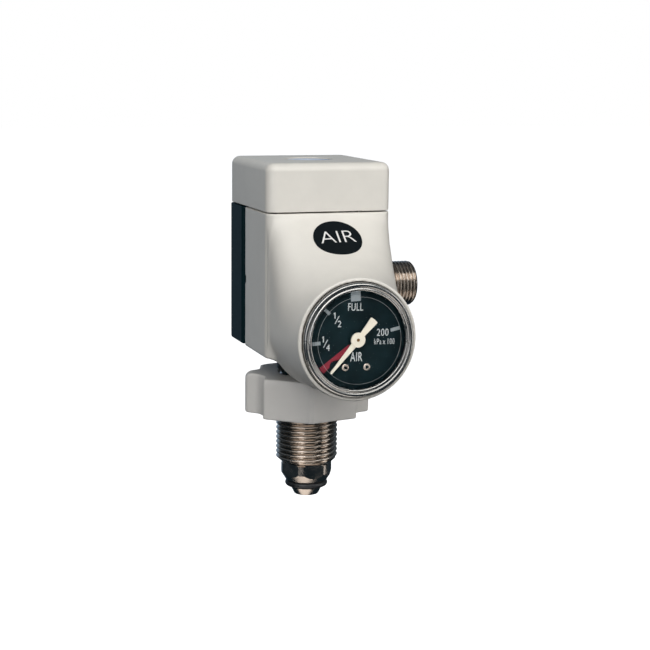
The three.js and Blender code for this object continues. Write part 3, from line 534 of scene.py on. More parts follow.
OFF_WHITE = plastic("off_white_plastic", (0.80, 0.775, 0.725), 0.4)
WHEEL_WHITE = plastic("handwheel_plastic", (0.80, 0.78, 0.75), 0.5, grain=0.5, relief=0.006,
                      ior=1.35)
DARK_TEAL = plastic("dark_teal_plastic", (0.002, 0.015, 0.020), 0.42, mottle=0.8, ior=1.12)
WELL_PAINTED_REFLECTION = plastic("well_sheet_painted_reflection", (0.58, 0.66, 0.78), 0.5)
WHITE_PLASTIC = plastic("white_plastic", (0.82, 0.78, 0.70), 0.5)
LABEL_BLACK = plastic("label_black", (0.004, 0.007, 0.009), 0.4, grain=0.2, relief=0.001,
                      ior=1.2)
DIAL_BLACK = plastic("dial_black", (0.006, 0.017, 0.021), 0.5, grain=0.12, relief=0.004,
                     mottle=0.6, ior=1.15)
IVORY = plastic("ivory", (0.80, 0.74, 0.62), 0.42, grain=0.2, relief=0.002)
INK_WHITE = plastic("ink_white", (0.62, 0.65, 0.66), 0.5, grain=0.1, relief=0.001, mottle=0.85)
INK_GREY = plastic("ink_grey", (0.30, 0.34, 0.36), 0.5, grain=0.1, relief=0.001, mottle=0.75)
INK_BRIGHT = plastic("ink_bright", (0.85, 0.85, 0.84), 0.4, grain=0.1, relief=0.001)
INK_RED = plastic("ink_red", (0.27, 0.016, 0.035), 0.5, grain=0.15, relief=0.001, mottle=0.8)
LENS_STEP_PAINTED_LINE = plastic("lens_step_line_paint", (0.30, 0.31, 0.31), 0.3, grain=0.3, relief=0.001)
NICKEL = metal("nickel", (0.54, 0.475, 0.42), 0.2, scratch=0.00005, grain=4)
CHROME = metal("chrome", (0.50, 0.49, 0.475), 0.24, scratch=0.00003, grain=5, tone=0.9)
# Brass is darker than clean brass, and the regulator body's is near black: painted shade for the
# shadow it sits in under the covers, between the hood and the handwheel.
BRASS = metal("brass", (0.20, 0.14, 0.065), 0.42)
SHADOWED_BRASS = metal("brass_painted_shade", (0.03, 0.028, 0.026), 0.5)
STEEL = metal("steel", (0.46, 0.46, 0.46), 0.3)
BRONZE = metal("sintered_bronze", (0.30, 0.17, 0.07), 0.6, scratch=0.05, grain=0.25)
RUBBER = rubber()
CLEAR = window_plastic()

SLOT_MATERIALS = {
    "off_white_plastic": OFF_WHITE, "dark_teal_plastic": DARK_TEAL, "nickel": NICKEL,
    "brass": BRASS, "steel": STEEL, "chrome": CHROME, "black_rubber": RUBBER,
    "white_plastic": WHITE_PLASTIC, "label_black": LABEL_BLACK, "dial_black": DIAL_BLACK,
    "ivory": IVORY, "clear_plastic": CLEAR, "sintered_bronze": BRONZE,
}
# The regulator body's near-black brass is painted shade.
NODE_MATERIALS = {"regulator_body": SHADOWED_BRASS}


def dress_cad_nodes():
    """Every CAD node gets its slot's procedural material, or one of its own."""
    slots = {row["node"]: row["material_slot"] for row in frame["record"]["subparts"]}
    for name, node in frame["nodes"].items():
        node.data.materials.clear()
        node.data.materials.append(NODE_MATERIALS.get(name, SLOT_MATERIALS[slots[name]]))


# ---- enclosure ----

CAP_EDGE = 3.0
CAP_HOLE = 8.5
CAP_WELL = CAP_HOLE + 1.8
CAP_WELL_DEPTH = 10.6
CAP_ROOF = 3.2
CAP_FOOT_EDGE = 0.15
CAP_LIP = 0.35
CAP_HOLE_EDGE = 0.25
CAP_LINER = CAP_HOLE + 0.7
LINER_GAP = 0.05
CORNER_STEPS = 12
SIDE_STEPS = 14
COVER_SHARP = 62


def cap_outline(inset):
    """The enclosure's plan, anticlockwise, with the same count of points for any inset."""
    radius = max(CORNER_RADIUS - inset, 0.8)
    middle = (FRONT + BACK) / 2
    half_x = HALF_WIDTH - inset - radius
    half_y = (BACK - FRONT) / 2 - inset - radius
    centres = [(half_x, half_y), (-half_x, half_y), (-half_x, -half_y), (half_x, -half_y)]
    arcs = []
    for quarter, (x, y) in enumerate(centres):
        turn = np.radians(90 * quarter + np.linspace(0, 90, CORNER_STEPS))
        arcs.append(np.stack([x + radius * np.cos(turn), y + radius * np.sin(turn)], axis=1))
    points = []
    for quarter, arc in enumerate(arcs):
        points.append(arc)
        start, end = arc[-1], arcs[(quarter + 1) % 4][0]
        share = np.linspace(0, 1, SIDE_STEPS + 2)[1:-1, None]
        points.append(start + (end - start) * share)
    plan = np.concatenate(points)
    plan[:, 1] += middle
    return plan


def cap_ring(radius):
    """A circle about Z with a point in line with each point of the cap's outline."""
    plan = cap_outline(0)
    angle = np.arctan2(plan[:, 1], plan[:, 0])
    return np.stack([radius * np.cos(angle), radius * np.sin(angle)], axis=1)


def at_height(plan, height):
    """A plan's points, all at one height."""
    return np.column_stack([plan, np.full(len(plan), height)])


def make_top_cap():
    """The cap, out over its top, down the hole and back under its roof, and a bluish sheet lining
    the well, coloured as a painted reflection on the hole's wall.
    """
    bottom, top = CAP_LOW[2], CAP_HIGH[2]
    loops = [at_height(cap_outline(CAP_FOOT_EDGE), bottom),
             at_height(cap_outline(0), bottom + CAP_FOOT_EDGE)]
    for turn in np.radians(np.linspace(0, 90, 12)):
        height = top - CAP_EDGE + CAP_EDGE * math.sin(turn)
        loops.append(at_height(cap_outline(CAP_EDGE * (1 - math.cos(turn))), height))
    edge = cap_outline(CAP_EDGE)
    rim = cap_ring(CAP_HOLE + CAP_HOLE_EDGE)
    for share in (0.08, 0.35, 0.65, 0.92, 1.0):
        loops.append(at_height(edge + (rim - edge) * share, top))
    for turn in np.radians((30, 60, 90)):
        lip = cap_ring(CAP_HOLE + CAP_HOLE_EDGE * (1 - math.sin(turn)))
        loops.append(at_height(lip, top - CAP_HOLE_EDGE * (1 - math.cos(turn))))
    lip_bottom, roof, well_bottom = top - CAP_LIP, top - CAP_ROOF, top - CAP_WELL_DEPTH
    loops += [at_height(cap_ring(CAP_HOLE), lip_bottom), at_height(cap_ring(CAP_LINER), lip_bottom)]
    loops += [at_height(cap_ring(CAP_LINER), well_bottom)]
    loops += [at_height(cap_ring(CAP_WELL), well_bottom), at_height(cap_ring(CAP_WELL), roof)]
    loops += [at_height(cap_outline(WALL + 0.6), roof)]
    loops += [at_height(cap_outline(WALL), roof - 0.8), at_height(cap_outline(WALL), bottom)]
    add_piece("top_cap_shell", loft(loops), OFF_WHITE, HOUSING, ["top_cap"])
    # The sheet's bluish tone in the well is painted reflection: it stands in for the slate backdrop
    # mirrored on the hole's wall.
    outer, liner_top = CAP_LINER - LINER_GAP, lip_bottom - LINER_GAP
    liner = turned([(CAP_HOLE, well_bottom, 0.2), (outer, well_bottom, 0.2), (outer, liner_top),
                    (CAP_HOLE, liner_top)], 96)
    add_piece("adjuster_well_reflection_sheet", liner, WELL_PAINTED_REFLECTION, HOUSING)


def make_covers():
    """Both covers. The rear one's lip, which shows in the joint between them, is given black rubber
    as painted shade for the shadowed gap.
    """
    front = moulded(front_cover_field, COVER_LOW, COVER_HIGH, voxel=0.5)
    add_piece("front_cover_shell", front, OFF_WHITE, HOUSING, ["front_cover"],
              COVER_SHARP)
    rear = moulded(rear_cover_field, REAR_LOW, REAR_HIGH, voxel=0.55)
    shell = add_piece("rear_cover_shell", rear, DARK_TEAL, HOUSING,
                      ["rear_cover"], COVER_SHARP)
    # Black rubber on the lip's faces is painted shade for the gap between the covers.
    shell.data.materials.append(RUBBER)
    for face in shell.data.polygons:
        if face.center.y < (SPLIT_BACK - 0.3) * MM:
            face.material_index = 1


def make_cover_screws():
    """Countersunk screws with a round recess."""
    face = REAR_BACK - SCREW_HEAD_INSET
    shape = turned([(0, SCREW_TIP_Y), (SCREW_SHANK, SCREW_TIP_Y, 0.3), (SCREW_SHANK, face - 1),
                    (SCREW_HEAD, face - 0.05, 0.2), (2.2, face, 0.3), (SCREW_RECESS, face),
                    (0.6, face - 0.9), (0, face - 1)], 64)
    for place, height in zip(("lower", "upper"), screw_heights()):
        add_piece(f"cover_screw_{place}_finished", to_back(shape, height), STEEL, HOUSING,
                  [f"cover_screw_{place}"])


# ---- label ----

PRINT = 0.03
LABEL_HEIGHT = 16.0
FILM = 0.14
FILM_LIFT = 0.02
LETTER_LIFT = 0.17


def label_frame():
    """The label's centre on the hood, and its right, up and outward directions."""
    centre = (LABEL_LOW + LABEL_HIGH) / 2
    centre = on_surface(cover_skin, np.array([[0, centre[1], centre[2]]]), 6)[0]
    out = field_gradient(cover_skin, centre[None])[0]
    out /= np.linalg.norm(out)
    right = np.array([1.0, 0, 0])
    up = np.cross(out, right)
    return centre, right, up / np.linalg.norm(up), out


def laid_on_hood(flat, lift):
    """Points of a flat drawing, dropped straight onto the hood and lifted off it."""
    centre, right, up, out = label_frame()
    points = centre + flat[:, :1] * right + flat[:, 1:2] * up + 3 * out
    for _ in range(14):
        points = points - cover_skin(*points.T)[:, None] * out
    slope = field_gradient(cover_skin, points)
    slope /= np.linalg.norm(slope, axis=1, keepdims=True)
    return points + slope * (lift + flat[:, 2:3])


def make_label():
    """An oval film and its letters, both laid on the curved hood."""
    half_width = (LABEL_HIGH[0] - LABEL_LOW[0]) / 2
    half_height = LABEL_HEIGHT / 2
    count = 120
    angle = ring_angles(count)
    loops = []
    rows = [(share, FILM) for share in (0.02, 0.2, 0.4, 0.6, 0.8, 0.95)]
    for share, thick in rows + [(0.985, 0.13), (1.0, 0.09), (1.0, 0.0)]:
        flat = np.stack([half_width * share * np.cos(angle), half_height * share * np.sin(angle),
                         np.full(count, thick)], axis=1)
        loops.append(laid_on_hood(flat, FILM_LIFT))
    points, faces = loft(loops, closed=False)
    faces.append(list(range(count)))
    faces.append(list(range(len(points) - count, len(points)))[::-1])
    add_piece("air_label_film", (points, faces), LABEL_BLACK, HOUSING, ["air_label"])
    letters = lettering("AIR", 13.0, 5.4, (0, 0.75), weight=-0.014, tilt=1.6, spacing=0.97)
    points, faces = finely_cut(letters, longest=0.7)
    points = laid_on_hood(points, LETTER_LIFT)
    add_piece("air_label_letters", (points, faces), INK_BRIGHT, HOUSING, sharp=60)


def lettering(text, width, height, centre, weight=0.0, tilt=0.0, spacing=1.1):
    """Letters as points and faces, stretched to a width and height about a centre."""
    curve = bpy.data.curves.new("lettering", "FONT")
    curve.body = text
    curve.offset = weight
    curve.space_character = spacing
    curve.space_word = 0.55
    curve.resolution_u = 6
    curve.extrude = 0.01
    letters = new_object("lettering", curve)
    bpy.context.view_layer.update()
    evaluated = letters.evaluated_get(bpy.context.evaluated_depsgraph_get())
    mesh = bpy.data.meshes.new_from_object(evaluated)
    points = np.array([v.co for v in mesh.vertices])
    faces = [list(face.vertices) for face in mesh.polygons]
    bpy.data.objects.remove(letters)
    bpy.data.meshes.remove(mesh)
    low, high = points.min(0), points.max(0)
    points = (points - (low + high) / 2) / (high - low) * (width, height, PRINT)
    turn = math.radians(tilt)
    spin = np.array([[math.cos(turn), math.sin(turn)], [-math.sin(turn), math.cos(turn)]])
    points[:, :2] = points[:, :2] @ spin + centre
    points[:, 2] += PRINT / 2
    return points, faces


def finely_cut(shape, longest):
    """The same shape with no edge longer than this, so that it can follow a curved surface."""
    work = bmesh.new()
    made = [work.verts.new(p) for p in shape[0]]
    for face in shape[1]:
        work.faces.new([made[i] for i in face])
    bmesh.ops.remove_doubles(work, verts=work.verts, dist=1e-4)
    bmesh.ops.triangulate(work, faces=work.faces)
    for _ in range(5):
        long_edges = [e for e in work.edges if e.calc_length() > longest]
        if not long_edges:
            break
        bmesh.ops.subdivide_edges(work, edges=long_edges, cuts=1)
        bmesh.ops.triangulate(work, faces=work.faces)
    work.verts.index_update()
    points = np.array([v.co for v in work.verts])
    faces = [[v.index for v in face.verts] for face in work.faces]
    work.free()
    return points, faces


# ---- bottle connection ----

THREAD_COUNT = 144
RIDGE_POWER = 1.2
RIDGE_HEIGHT = 0.62
GLAND_CREST = 11.455
GLAND_PITCH = 1.814
GLAND_BORE = 7.12
GLAND_NECK = 10.2


def thread_radius(angle, height, crest, pitch):
    """A right-hand helical ridge with a rounded crest and a sharp root."""
    phase = (height / pitch - angle / (2 * math.pi)) % 1
    ridge = np.abs(np.sin(math.pi * phase)) ** RIDGE_POWER
    return crest - RIDGE_HEIGHT * pitch * (1 - ridge)


def make_gland_nut():
    """A G 5/8 thread, then a plain neck inside the handwheel."""
    angle = ring_angles(THREAD_COUNT)
    bottom, top = GLAND_LOW[2], GLAND_HIGH[2]
    thread_top = WHEEL_LOW[2] - 0.3
    rows = [(GLAND_BORE, top), (GLAND_BORE, bottom + 0.3), (GLAND_BORE + 0.3, bottom)]
    rows.append((9.7, bottom))
    for height in np.arange(bottom + 0.05, thread_top, 0.13):
        thread = thread_radius(angle, height, GLAND_CREST, GLAND_PITCH)
        chamfer = 9.8 + (height - bottom) * 1.1
        rows.append((np.minimum(thread, chamfer), height))
    rows += [(GLAND_NECK, thread_top), (GLAND_NECK, top)]
    add_piece("gland_nut_threaded", polar_loft(rows, THREAD_COUNT), NICKEL, "handwheel_group",
              ["gland_nut"], 50)


HEX_FLATS = 17.7
HEX_BAR = 9.65
HEX_BOTTOM = 5.7
SHANK = 7.0
STEM_BORE = 2.2


def make_stem():
    """A blunt cone with a groove, then a hexagon with a turned chamfer, then the shank."""
    count = 180
    angle = ring_angles(count)
    sector = angle % (math.pi / 3) - math.pi / 6
    hexagon = np.minimum(HEX_FLATS / 2 / np.cos(sector), HEX_BAR)
    rows = [(STEM_BORE, 61), (STEM_BORE, 9.6), (3.3, 9.6), (3.3, 0.3), (3.6, 0)]
    rows += [(4.3, 0), (4.5, 0.08), (4.65, 0.3), (5.75, 2.5), (5.78, 2.66), (5.7, 2.75)]
    rows += [(5.3, 2.85), (5.3, 5.4), (7.5, 5.45), (7.7, 5.55)]
    for height in np.arange(HEX_BOTTOM, 9.2, 0.1):
        rows.append((np.minimum(hexagon, 7.85 + (height - HEX_BOTTOM) * 0.62), height))
    rows += [(hexagon, height) for height in (9.6, 11.0, 12.2)]
    rows += [(np.minimum(hexagon, 9.3), 12.5), (SHANK, 12.55), (SHANK, 60.2), (6.2, 61)]
    add_piece("bullnose_stem_finished", polar_loft(rows, count), NICKEL, HOUSING,
              ["bullnose_stem"], 14)


def make_nose_ring():
    """An O-ring with a round section."""
    low, high = box_mm("nose_o_ring")
    outer = high[0]
    section = (high[2] - low[2]) / 2
    middle = (high[2] + low[2]) / 2
    turn = ring_angles(28)
    profile = zip(outer - section + section * np.cos(turn), middle + section * np.sin(turn))
    add_piece("nose_o_ring_finished", polar_loft(profile, 96), RUBBER, HOUSING,
              ["nose_o_ring"])


WHEEL_TURN = 13.8
WHEEL_EDGE = 3.0
HALF_WHEEL = [(-2, 22.9, 0.3), (2, 22.9, 0.3), (50.5, 22.5, 1.6), (57, 19.6, 1.4), (68, 18.9, 4),
              (76, 19.4, 3), (84.5, 23.1, 1.4), (95.5, 23.1, 1.4), (104, 19.4, 3), (112, 18.9, 4),
              (123, 19.6, 1.4), (129.5, 22.5, 1.6)]


def wheel_outline():
    """Two wide lobes with a narrow ridge down their middle, two small lobes and four notches."""
    corners = []
    for side in (0, 180):
        for turn, radius, cut in HALF_WHEEL:
            angle = -math.pi / 2 - math.radians(side + turn + WHEEL_TURN)
            corners.append((radius * math.cos(angle), radius * math.sin(angle), cut))
    return rounded(corners, 10)


def evenly_spaced(outline, spacing):
    """The outline with points added on its long stretches."""
    points = []
    for here, there in zip(outline, np.roll(outline, -1, axis=0)):
        pieces = max(1, int(np.linalg.norm(there - here) / spacing))
        for i in range(pieces):
            points.append(here + (there - here) * i / pieces)
    return np.array(points)


def make_handwheel():
    """The outline drawn upwards, with a small foot edge and a rounded, sloping shoulder."""
    bottom, top = WHEEL_LOW[2], WHEEL_HIGH[2]
    outline = evenly_spaced(wheel_outline(), spacing=1.0)
    radius = np.linalg.norm(outline, axis=1)
    angle = np.arctan2(outline[:, 1], outline[:, 0])

    def loop(height, limit=99.0, inset=0.0):
        reach = np.minimum(radius - inset, limit)
        return at_height(np.column_stack([reach * np.cos(angle), reach * np.sin(angle)]), height)

    loops = [loop(bottom, 10.5), loop(bottom, 14), loop(bottom, 18, 0.5), loop(bottom, inset=0.55)]
    loops += [loop(bottom + 0.08, inset=0.28), loop(bottom + 0.25, inset=0.1), loop(bottom + 0.55)]
    loops += [loop(bottom + 4), loop(top - 4)]
    for turn in np.radians(np.linspace(0, 90, 13)):
        height = top - WHEEL_EDGE + WHEEL_EDGE * math.sin(turn)
        gone = 1 - math.cos(turn)
        loops.append(loop(height, 23.3 - WHEEL_EDGE * gone, 0.9 * gone))
    loops += [loop(top, 17), loop(top, 13), loop(top, 10.9), loop(top - 0.4, 10.5)]
    add_piece("handwheel_moulded", loft(loops), WHEEL_WHITE, "handwheel_group",
              ["handwheel"], 11.5)


# ---- outlet ----

OUTLET_CREST = 8.33
OUTLET_PITCH = 1.337
OUTLET_THREAD = 8.4
OUTLET_BORE = 3.6
OUTLET_SPIGOT = 6.0
OUTLET_COLLAR = 8.6
OUTLET_NECK = 7.9


def make_outlet():
    """A spigot in the block, a collar behind the covers, a neck and a G 3/8 thread."""
    angle = ring_angles(THREAD_COUNT)
    start, end = OUTLET_LOW[0], OUTLET_HIGH[0]
    neck_end = end - OUTLET_THREAD
    rows = [(OUTLET_BORE, start), (OUTLET_SPIGOT, start), (OUTLET_SPIGOT, 18.2)]
    rows += [(OUTLET_COLLAR, 18.2), (OUTLET_COLLAR, 20.6), (OUTLET_NECK, 20.6)]
    rows += [(OUTLET_NECK, neck_end - 0.6), (7.6, neck_end - 0.2)]
    for reach in np.arange(neck_end, end - 0.05, 0.1):
        thread = thread_radius(angle, reach, OUTLET_CREST, OUTLET_PITCH)
        rows.append((np.minimum(thread, 7.3 + (end - reach)), reach))
    rows += [(7.15, end), (5.9, end), (5.7, end - 0.2), (OUTLET_BORE, end - 3.8)]
    add_piece("outlet_fitting_threaded", to_right(polar_loft(rows, THREAD_COUNT)), NICKEL, HOUSING,
              ["outlet_fitting"], 50)


# ---- contents gauge ----

DIAL = -DIAL_Y
BEZEL_RADIUS = 19.7
LENS_BACK = 54.2
LENS_STEP = 14.8
PRINT_TILT = -1.5
PRINT_LIFT = 0.005
MARK = 0.04
DIGIT_ONE = [(0, -1.05), (0.32, -1.05), (0.32, 1.05), (0.1, 1.05), (-0.32, 0.68), (-0.32, 0.38),
             (0, 0.6)]
# The red zone's outline. Its notch on the pointer's side, about 10 to 13.4 mm out, leaves the black
# dial bare as the pointer's painted shadow.
RED_ZONE_AND_POINTER_SHADOW = [(-119.4, 3.2), (-124.6, 16.1), (-128.6, 16.4), (-133.2, 16.1), (-133.4, 13.4),
            (-130.5, 12.7), (-128.7, 11.7), (-130.0, 10.8), (-132.7, 10.0), (-136.5, 9.0),
            (-137.5, 3.2)]


def make_bezel():
    """A rolled ring: a bright outer band, a groove and a bright inner lip."""
    front = -BEZEL_LOW[1]
    profile = [(19.15, 50.4), (BEZEL_RADIUS, 50.4, 0.1), (BEZEL_RADIUS, front - 0.75, 0.5),
               (19.25, front, 0.35), (18.35, front, 0.3), (18.15, front - 0.3, 0.15),
               (17.8, front - 0.3, 0.15), (17.55, front - 0.05, 0.2), (17.05, front - 0.1, 0.25),
               (16.75, 55.5, 0.1), (19.15, 55.5)]
    add_piece("gauge_bezel_ring", to_front(turned(profile, 160, 5)), CHROME, HOUSING,
              ["gauge_bezel"], 50)


def make_lens():
    """A raised clear disc, and a thin grey ring at the edge of its step: a painted line for the
    light that the step's edge bends.
    """
    front = -box_mm("gauge_lens")[0][1]
    profile = [(0, 55.3), (15.6, 55.3), (15.6, LENS_BACK), (18.9, LENS_BACK, 0.1), (18.9, 55.2),
               (16.3, 55.2), (16.3, 56.1, 0.2), (LENS_STEP + 0.1, 56.15, 0.1),
               (LENS_STEP, front, 0.15), (0, front)]
    add_piece("gauge_lens_clear", to_front(turned(profile, 160, 3)), CLEAR, HOUSING,
              ["gauge_lens"])
    # The grey ring is painted refraction at the lens step's edge.
    inner, outer, low, high = LENS_STEP + 0.02, LENS_STEP + 0.12, 56.16, 56.24
    edge = turned([(inner, low), (outer, low), (outer, high), (inner, high)], 160)
    add_piece("lens_step_painted_ring", to_front(edge), LENS_STEP_PAINTED_LINE, HOUSING)


def make_dial():
    hole, radius, back = 1.2, (DIAL_HIGH[0] - DIAL_LOW[0]) / 2, DIAL - 0.5
    shape = turned([(hole, back), (radius, back), (radius, DIAL, 0.08), (hole, DIAL, 0.05)])
    add_piece("gauge_dial_plate", to_front(shape), DIAL_BLACK, HOUSING,
              ["gauge_dial"])


def dial_point(clockwise, radius):
    """A point on the dial, this many degrees clockwise from straight up."""
    turn = math.radians(clockwise)
    return np.array([radius * math.sin(turn), radius * math.cos(turn)])


def scale_mark(clockwise, inner, outer, width):
    middle = dial_point(clockwise, 1)
    side = np.array([middle[1], -middle[0]]) * width / 2
    near, far = middle * inner, middle * outer
    return plate([near - side, near + side, far + side, far - side], 0, MARK)


def slash(start, end, width):
    start, end = np.array(start), np.array(end)
    along = (end - start) / np.linalg.norm(end - start)
    side = np.array([-along[1], along[0]]) * width / 2
    return plate([start - side, end - side, end + side, start + side], 0, PRINT)


def fraction(below, centre):
    """A stacked fraction, 1 over a number, with a slanting bar."""
    x, y = centre
    one = plate([(x - 0.95 + across, y + 1.45 + up) for across, up in DIGIT_ONE], 0, PRINT)
    other = lettering(below, 1.25, 2.15, (x + 0.85, y - 1.45), 0, PRINT_TILT)
    return [one, slash((x - 0.75, y - 1.35), (x + 0.7, y + 1.25), 0.24), other]


def on_dial(shape):
    """A flat drawing, set just clear of the dial's face."""
    return to_front((np.asarray(shape[0], float) + (0, 0, DIAL + PRINT_LIFT), shape[1]))


def make_dial_print():
    marks = [scale_mark(-2.4, 13.1, 16.5, 3.5), scale_mark(-47.2, 13.3, 15.8, 1.1)]
    marks += [scale_mark(-93.1, 13.0, 15.8, 1.25), scale_mark(77.7, 12.4, 15.7, 1.2)]
    add_piece("dial_marks", on_dial(joined(*marks)), INK_GREY, HOUSING)
    words = [
        lettering("FULL", 5.3, 2.6, (-0.63, 11.15), 0, PRINT_TILT),
        lettering("200", 4.2, 2.45, (9.25, 2.05), -0.006, PRINT_TILT),
        lettering("kPa x 100", 7.3, 1.95, (9.9, -1.1), -0.004, PRINT_TILT, spacing=1.2),
        lettering("AIR", 4.3, 3.1, (-0.15, -5.9), 0, PRINT_TILT),
    ]
    words += fraction("4", (-11.15, -0.85)) + fraction("2", (-7.15, 7.05))
    add_piece("dial_lettering", on_dial(joined(*words)), INK_WHITE, HOUSING)
    zone = plate([dial_point(turn, radius) for turn, radius in RED_ZONE_AND_POINTER_SHADOW][::-1], 0, PRINT)
    add_piece("dial_red_zone", on_dial(zone), INK_RED, HOUSING)


def make_dial_screws():
    """Domed heads with a round recess."""
    shank, head, tip = 0.65, 1.35, 50.1
    profile = [(0, tip), (shank, tip), (shank, DIAL), (head, DIAL, 0.05), (head, DIAL + 0.25, 0.3),
               (0.95, DIAL + 0.6, 0.3), (0.55, DIAL + 0.55, 0.12), (0.42, DIAL - 1.2),
               (0, DIAL - 1.4)]
    points, faces = to_front(turned(profile, 48))
    for side in ("left", "right"):
        low, high = box_mm(f"dial_screw_{side}")
        centre = (low + high) / 2
        shape = points + (centre[0], 0, centre[2] - GAUGE_Z), faces
        add_piece(f"dial_screw_{side}_finished", shape, NICKEL, HOUSING,
                  [f"dial_screw_{side}"])


POINTER_REST = -139
POINTER_REACH = 14.6
POINTER_HUB = 2.53


def make_pointer():
    """A tapering blade, a flared tail and a round hub with the spindle's end in it."""
    blade = [(-0.38, POINTER_REACH, 0.15), (-1.0, 1.5), (-0.85, -2.0, 0.5), (-1.5, -8.75, 0.35),
             (0, -8.95, 0.8), (1.5, -8.75, 0.35), (0.85, -2.0, 0.5), (1.0, 1.5),
             (0.38, POINTER_REACH, 0.15)]
    top = -box_mm("pointer")[0][1]
    arm = plate(rounded(blade, 3), top - 0.65, top - 0.3, bevel=0.08)
    hub = turned([(0, top - 0.68), (POINTER_HUB, top - 0.68), (POINTER_HUB, top - 0.05, 0.18),
                  (0.62, top, 0.08), (0.58, top - 0.32), (0, top - 0.32)], 64)
    turn = math.radians(-POINTER_REST)
    cos, sin = math.cos(turn), math.sin(turn)
    points, faces = joined(arm, hub)
    points = points @ np.array([[cos, sin, 0], [-sin, cos, 0], [0, 0, 1]])
    add_piece("pointer_hand", to_front((points, faces)), IVORY, "pointer_group",
              ["pointer"])
    tip = turned([(0, top - 0.3), (0.55, top - 0.3), (0.55, top - 0.2, 0.03), (0, top - 0.16)], 32)
    add_piece("pointer_spindle_end", to_front(tip), BRONZE, "pointer_group")


ADJUSTER_HEAD = 4.1
ADJUSTER_COLLAR = 5.9
ADJUSTER_COLLAR_TOP = 107.6
ADJUSTER_COLLAR_BOTTOM = 105.6
ADJUSTER_SHANK = 2.2
ADJUSTER_END = 98
SOCKET_HALF_FLATS = 2.0
SOCKET_DEPTH = 4.2


def make_adjusting_screw():
    """The screw seen through the cap's hole, with its hexagon socket."""
    top = box_mm("adjusting_screw")[1][2]
    count = 96
    socket = SOCKET_HALF_FLATS / np.cos(ring_angles(count) % (math.pi / 3) - math.pi / 6)
    rows = [(0.01, top - SOCKET_DEPTH), (socket * 0.98, top - SOCKET_DEPTH), (socket, top - 0.3)]
    rows += [(socket + 0.25, top), (3.6, top), (3.9, top - 0.15), (ADJUSTER_HEAD, top - 0.5)]
    rows += [(ADJUSTER_HEAD, ADJUSTER_COLLAR_TOP), (ADJUSTER_COLLAR, ADJUSTER_COLLAR_TOP)]
    rows += [(ADJUSTER_COLLAR, ADJUSTER_COLLAR_BOTTOM), (ADJUSTER_SHANK, ADJUSTER_COLLAR_BOTTOM)]
    rows += [(ADJUSTER_SHANK, ADJUSTER_END), (0.01, ADJUSTER_END)]
    add_piece("adjusting_screw_finished", polar_loft(rows, count), STEEL, "adjusting_screw_body",
              ["adjusting_screw"], 30)


# ---- springs ----

WIRE_POINTS = 12
STEPS_A_TURN = 24
CLOSED_PITCH = 2.1
MAIN_WIRE = 1.0
MAIN_TURNS = 5
RELIEF_WIRE = 0.3
RELIEF_TURNS = 7


def coil(node, wire, turns, start=0.0, end=1.0):
    """Part of a spring's wire, with one closed turn at each end of the spring.

    wire is its radius, and CLOSED_PITCH is the rise of a closed turn in wire radii.
    """
    low, high = box_mm(node)
    middle = (low + high) / 2
    radius = (high[0] - low[0]) / 2 - wire
    rise = high[2] - low[2] - 2 * wire
    share = np.linspace(start, end, round(turns * STEPS_A_TURN * (end - start)) + 1)
    closed = 1 / turns
    heights = np.interp(share, [0, closed, 1 - closed, 1],
                        [0, CLOSED_PITCH * wire, rise - CLOSED_PITCH * wire, rise])
    section = ring_angles(WIRE_POINTS)
    out = radius + wire * np.cos(section)
    loops = []
    for turn, height in zip(2 * math.pi * turns * share, low[2] + wire + heights):
        loops.append(np.stack([middle[0] + out * math.cos(turn), middle[1] + out * math.sin(turn),
                               height + wire * np.sin(section)], axis=1))
    points, faces = loft(loops, closed=False)
    faces.append(list(range(WIRE_POINTS))[::-1])
    faces.append(list(range(len(points) - WIRE_POINTS, len(points))))
    return points, faces


def shorten(piece):
    """Gives the spring piece a mesh of its own."""
    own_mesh(piece)


def make_springs():
    """The main spring is in two halves, since it is pressed from both ends."""
    for place, joint, start in (("lower", "piston_lift", 0), ("upper", "spring_button_slide", 0.5)):
        shape = coil("main_spring", MAIN_WIRE, MAIN_TURNS, start, start + 0.5)
        stands_for = ["main_spring"] if place == "lower" else []
        piece = add_piece(f"main_spring_{place}_half", shape, STEEL, HOUSING, stands_for)
        shorten(piece)
    piece = add_piece("relief_spring_wound", coil("relief_spring", RELIEF_WIRE, RELIEF_TURNS),
                      STEEL, HOUSING, ["relief_spring"])
    shorten(piece)


# ---- studio ----

CAMERA_ANGLES = (18.91, 9.66, -0.605)
CAMERA_PLACE = (-175.04, -530.96, 159.19)
CAMERA_LENS = 84.81
AIM = (0, 0, 70.0)
SHADE_BELOW = (0.012, 0.023, 0.032)
SHADE_ABOVE = (0.13, 0.155, 0.18)
SHADE_BEHIND = (0.30, 0.42, 0.56)
AMBIENT = 0.35
FLOOR_HALF = 6000
FLOOR_Z = -120


def make_camera():
    """A little to the left of the gauge and above it, as the object was pictured."""
    yaw, pitch, roll = (math.radians(a) for a in CAMERA_ANGLES)
    ahead = np.array([math.sin(yaw) * math.cos(pitch), math.cos(yaw) * math.cos(pitch),
                      -math.sin(pitch)])
    level = np.array([math.cos(yaw), -math.sin(yaw), 0])
    down = np.cross(ahead, level)
    right = level * math.cos(roll) + down * math.sin(roll)
    up = level * math.sin(roll) - down * math.cos(roll)
    data = bpy.data.cameras.new("camera")
    data.lens = CAMERA_LENS
    data.sensor_width = 36
    data.clip_start = 0.01
    camera = new_object("camera", data)
    turn = Matrix(np.stack([right, up, -ahead], axis=1).tolist()).to_4x4()
    camera.matrix_world = Matrix.Translation([v * MM for v in CAMERA_PLACE]) @ turn
    bpy.context.scene.camera = camera


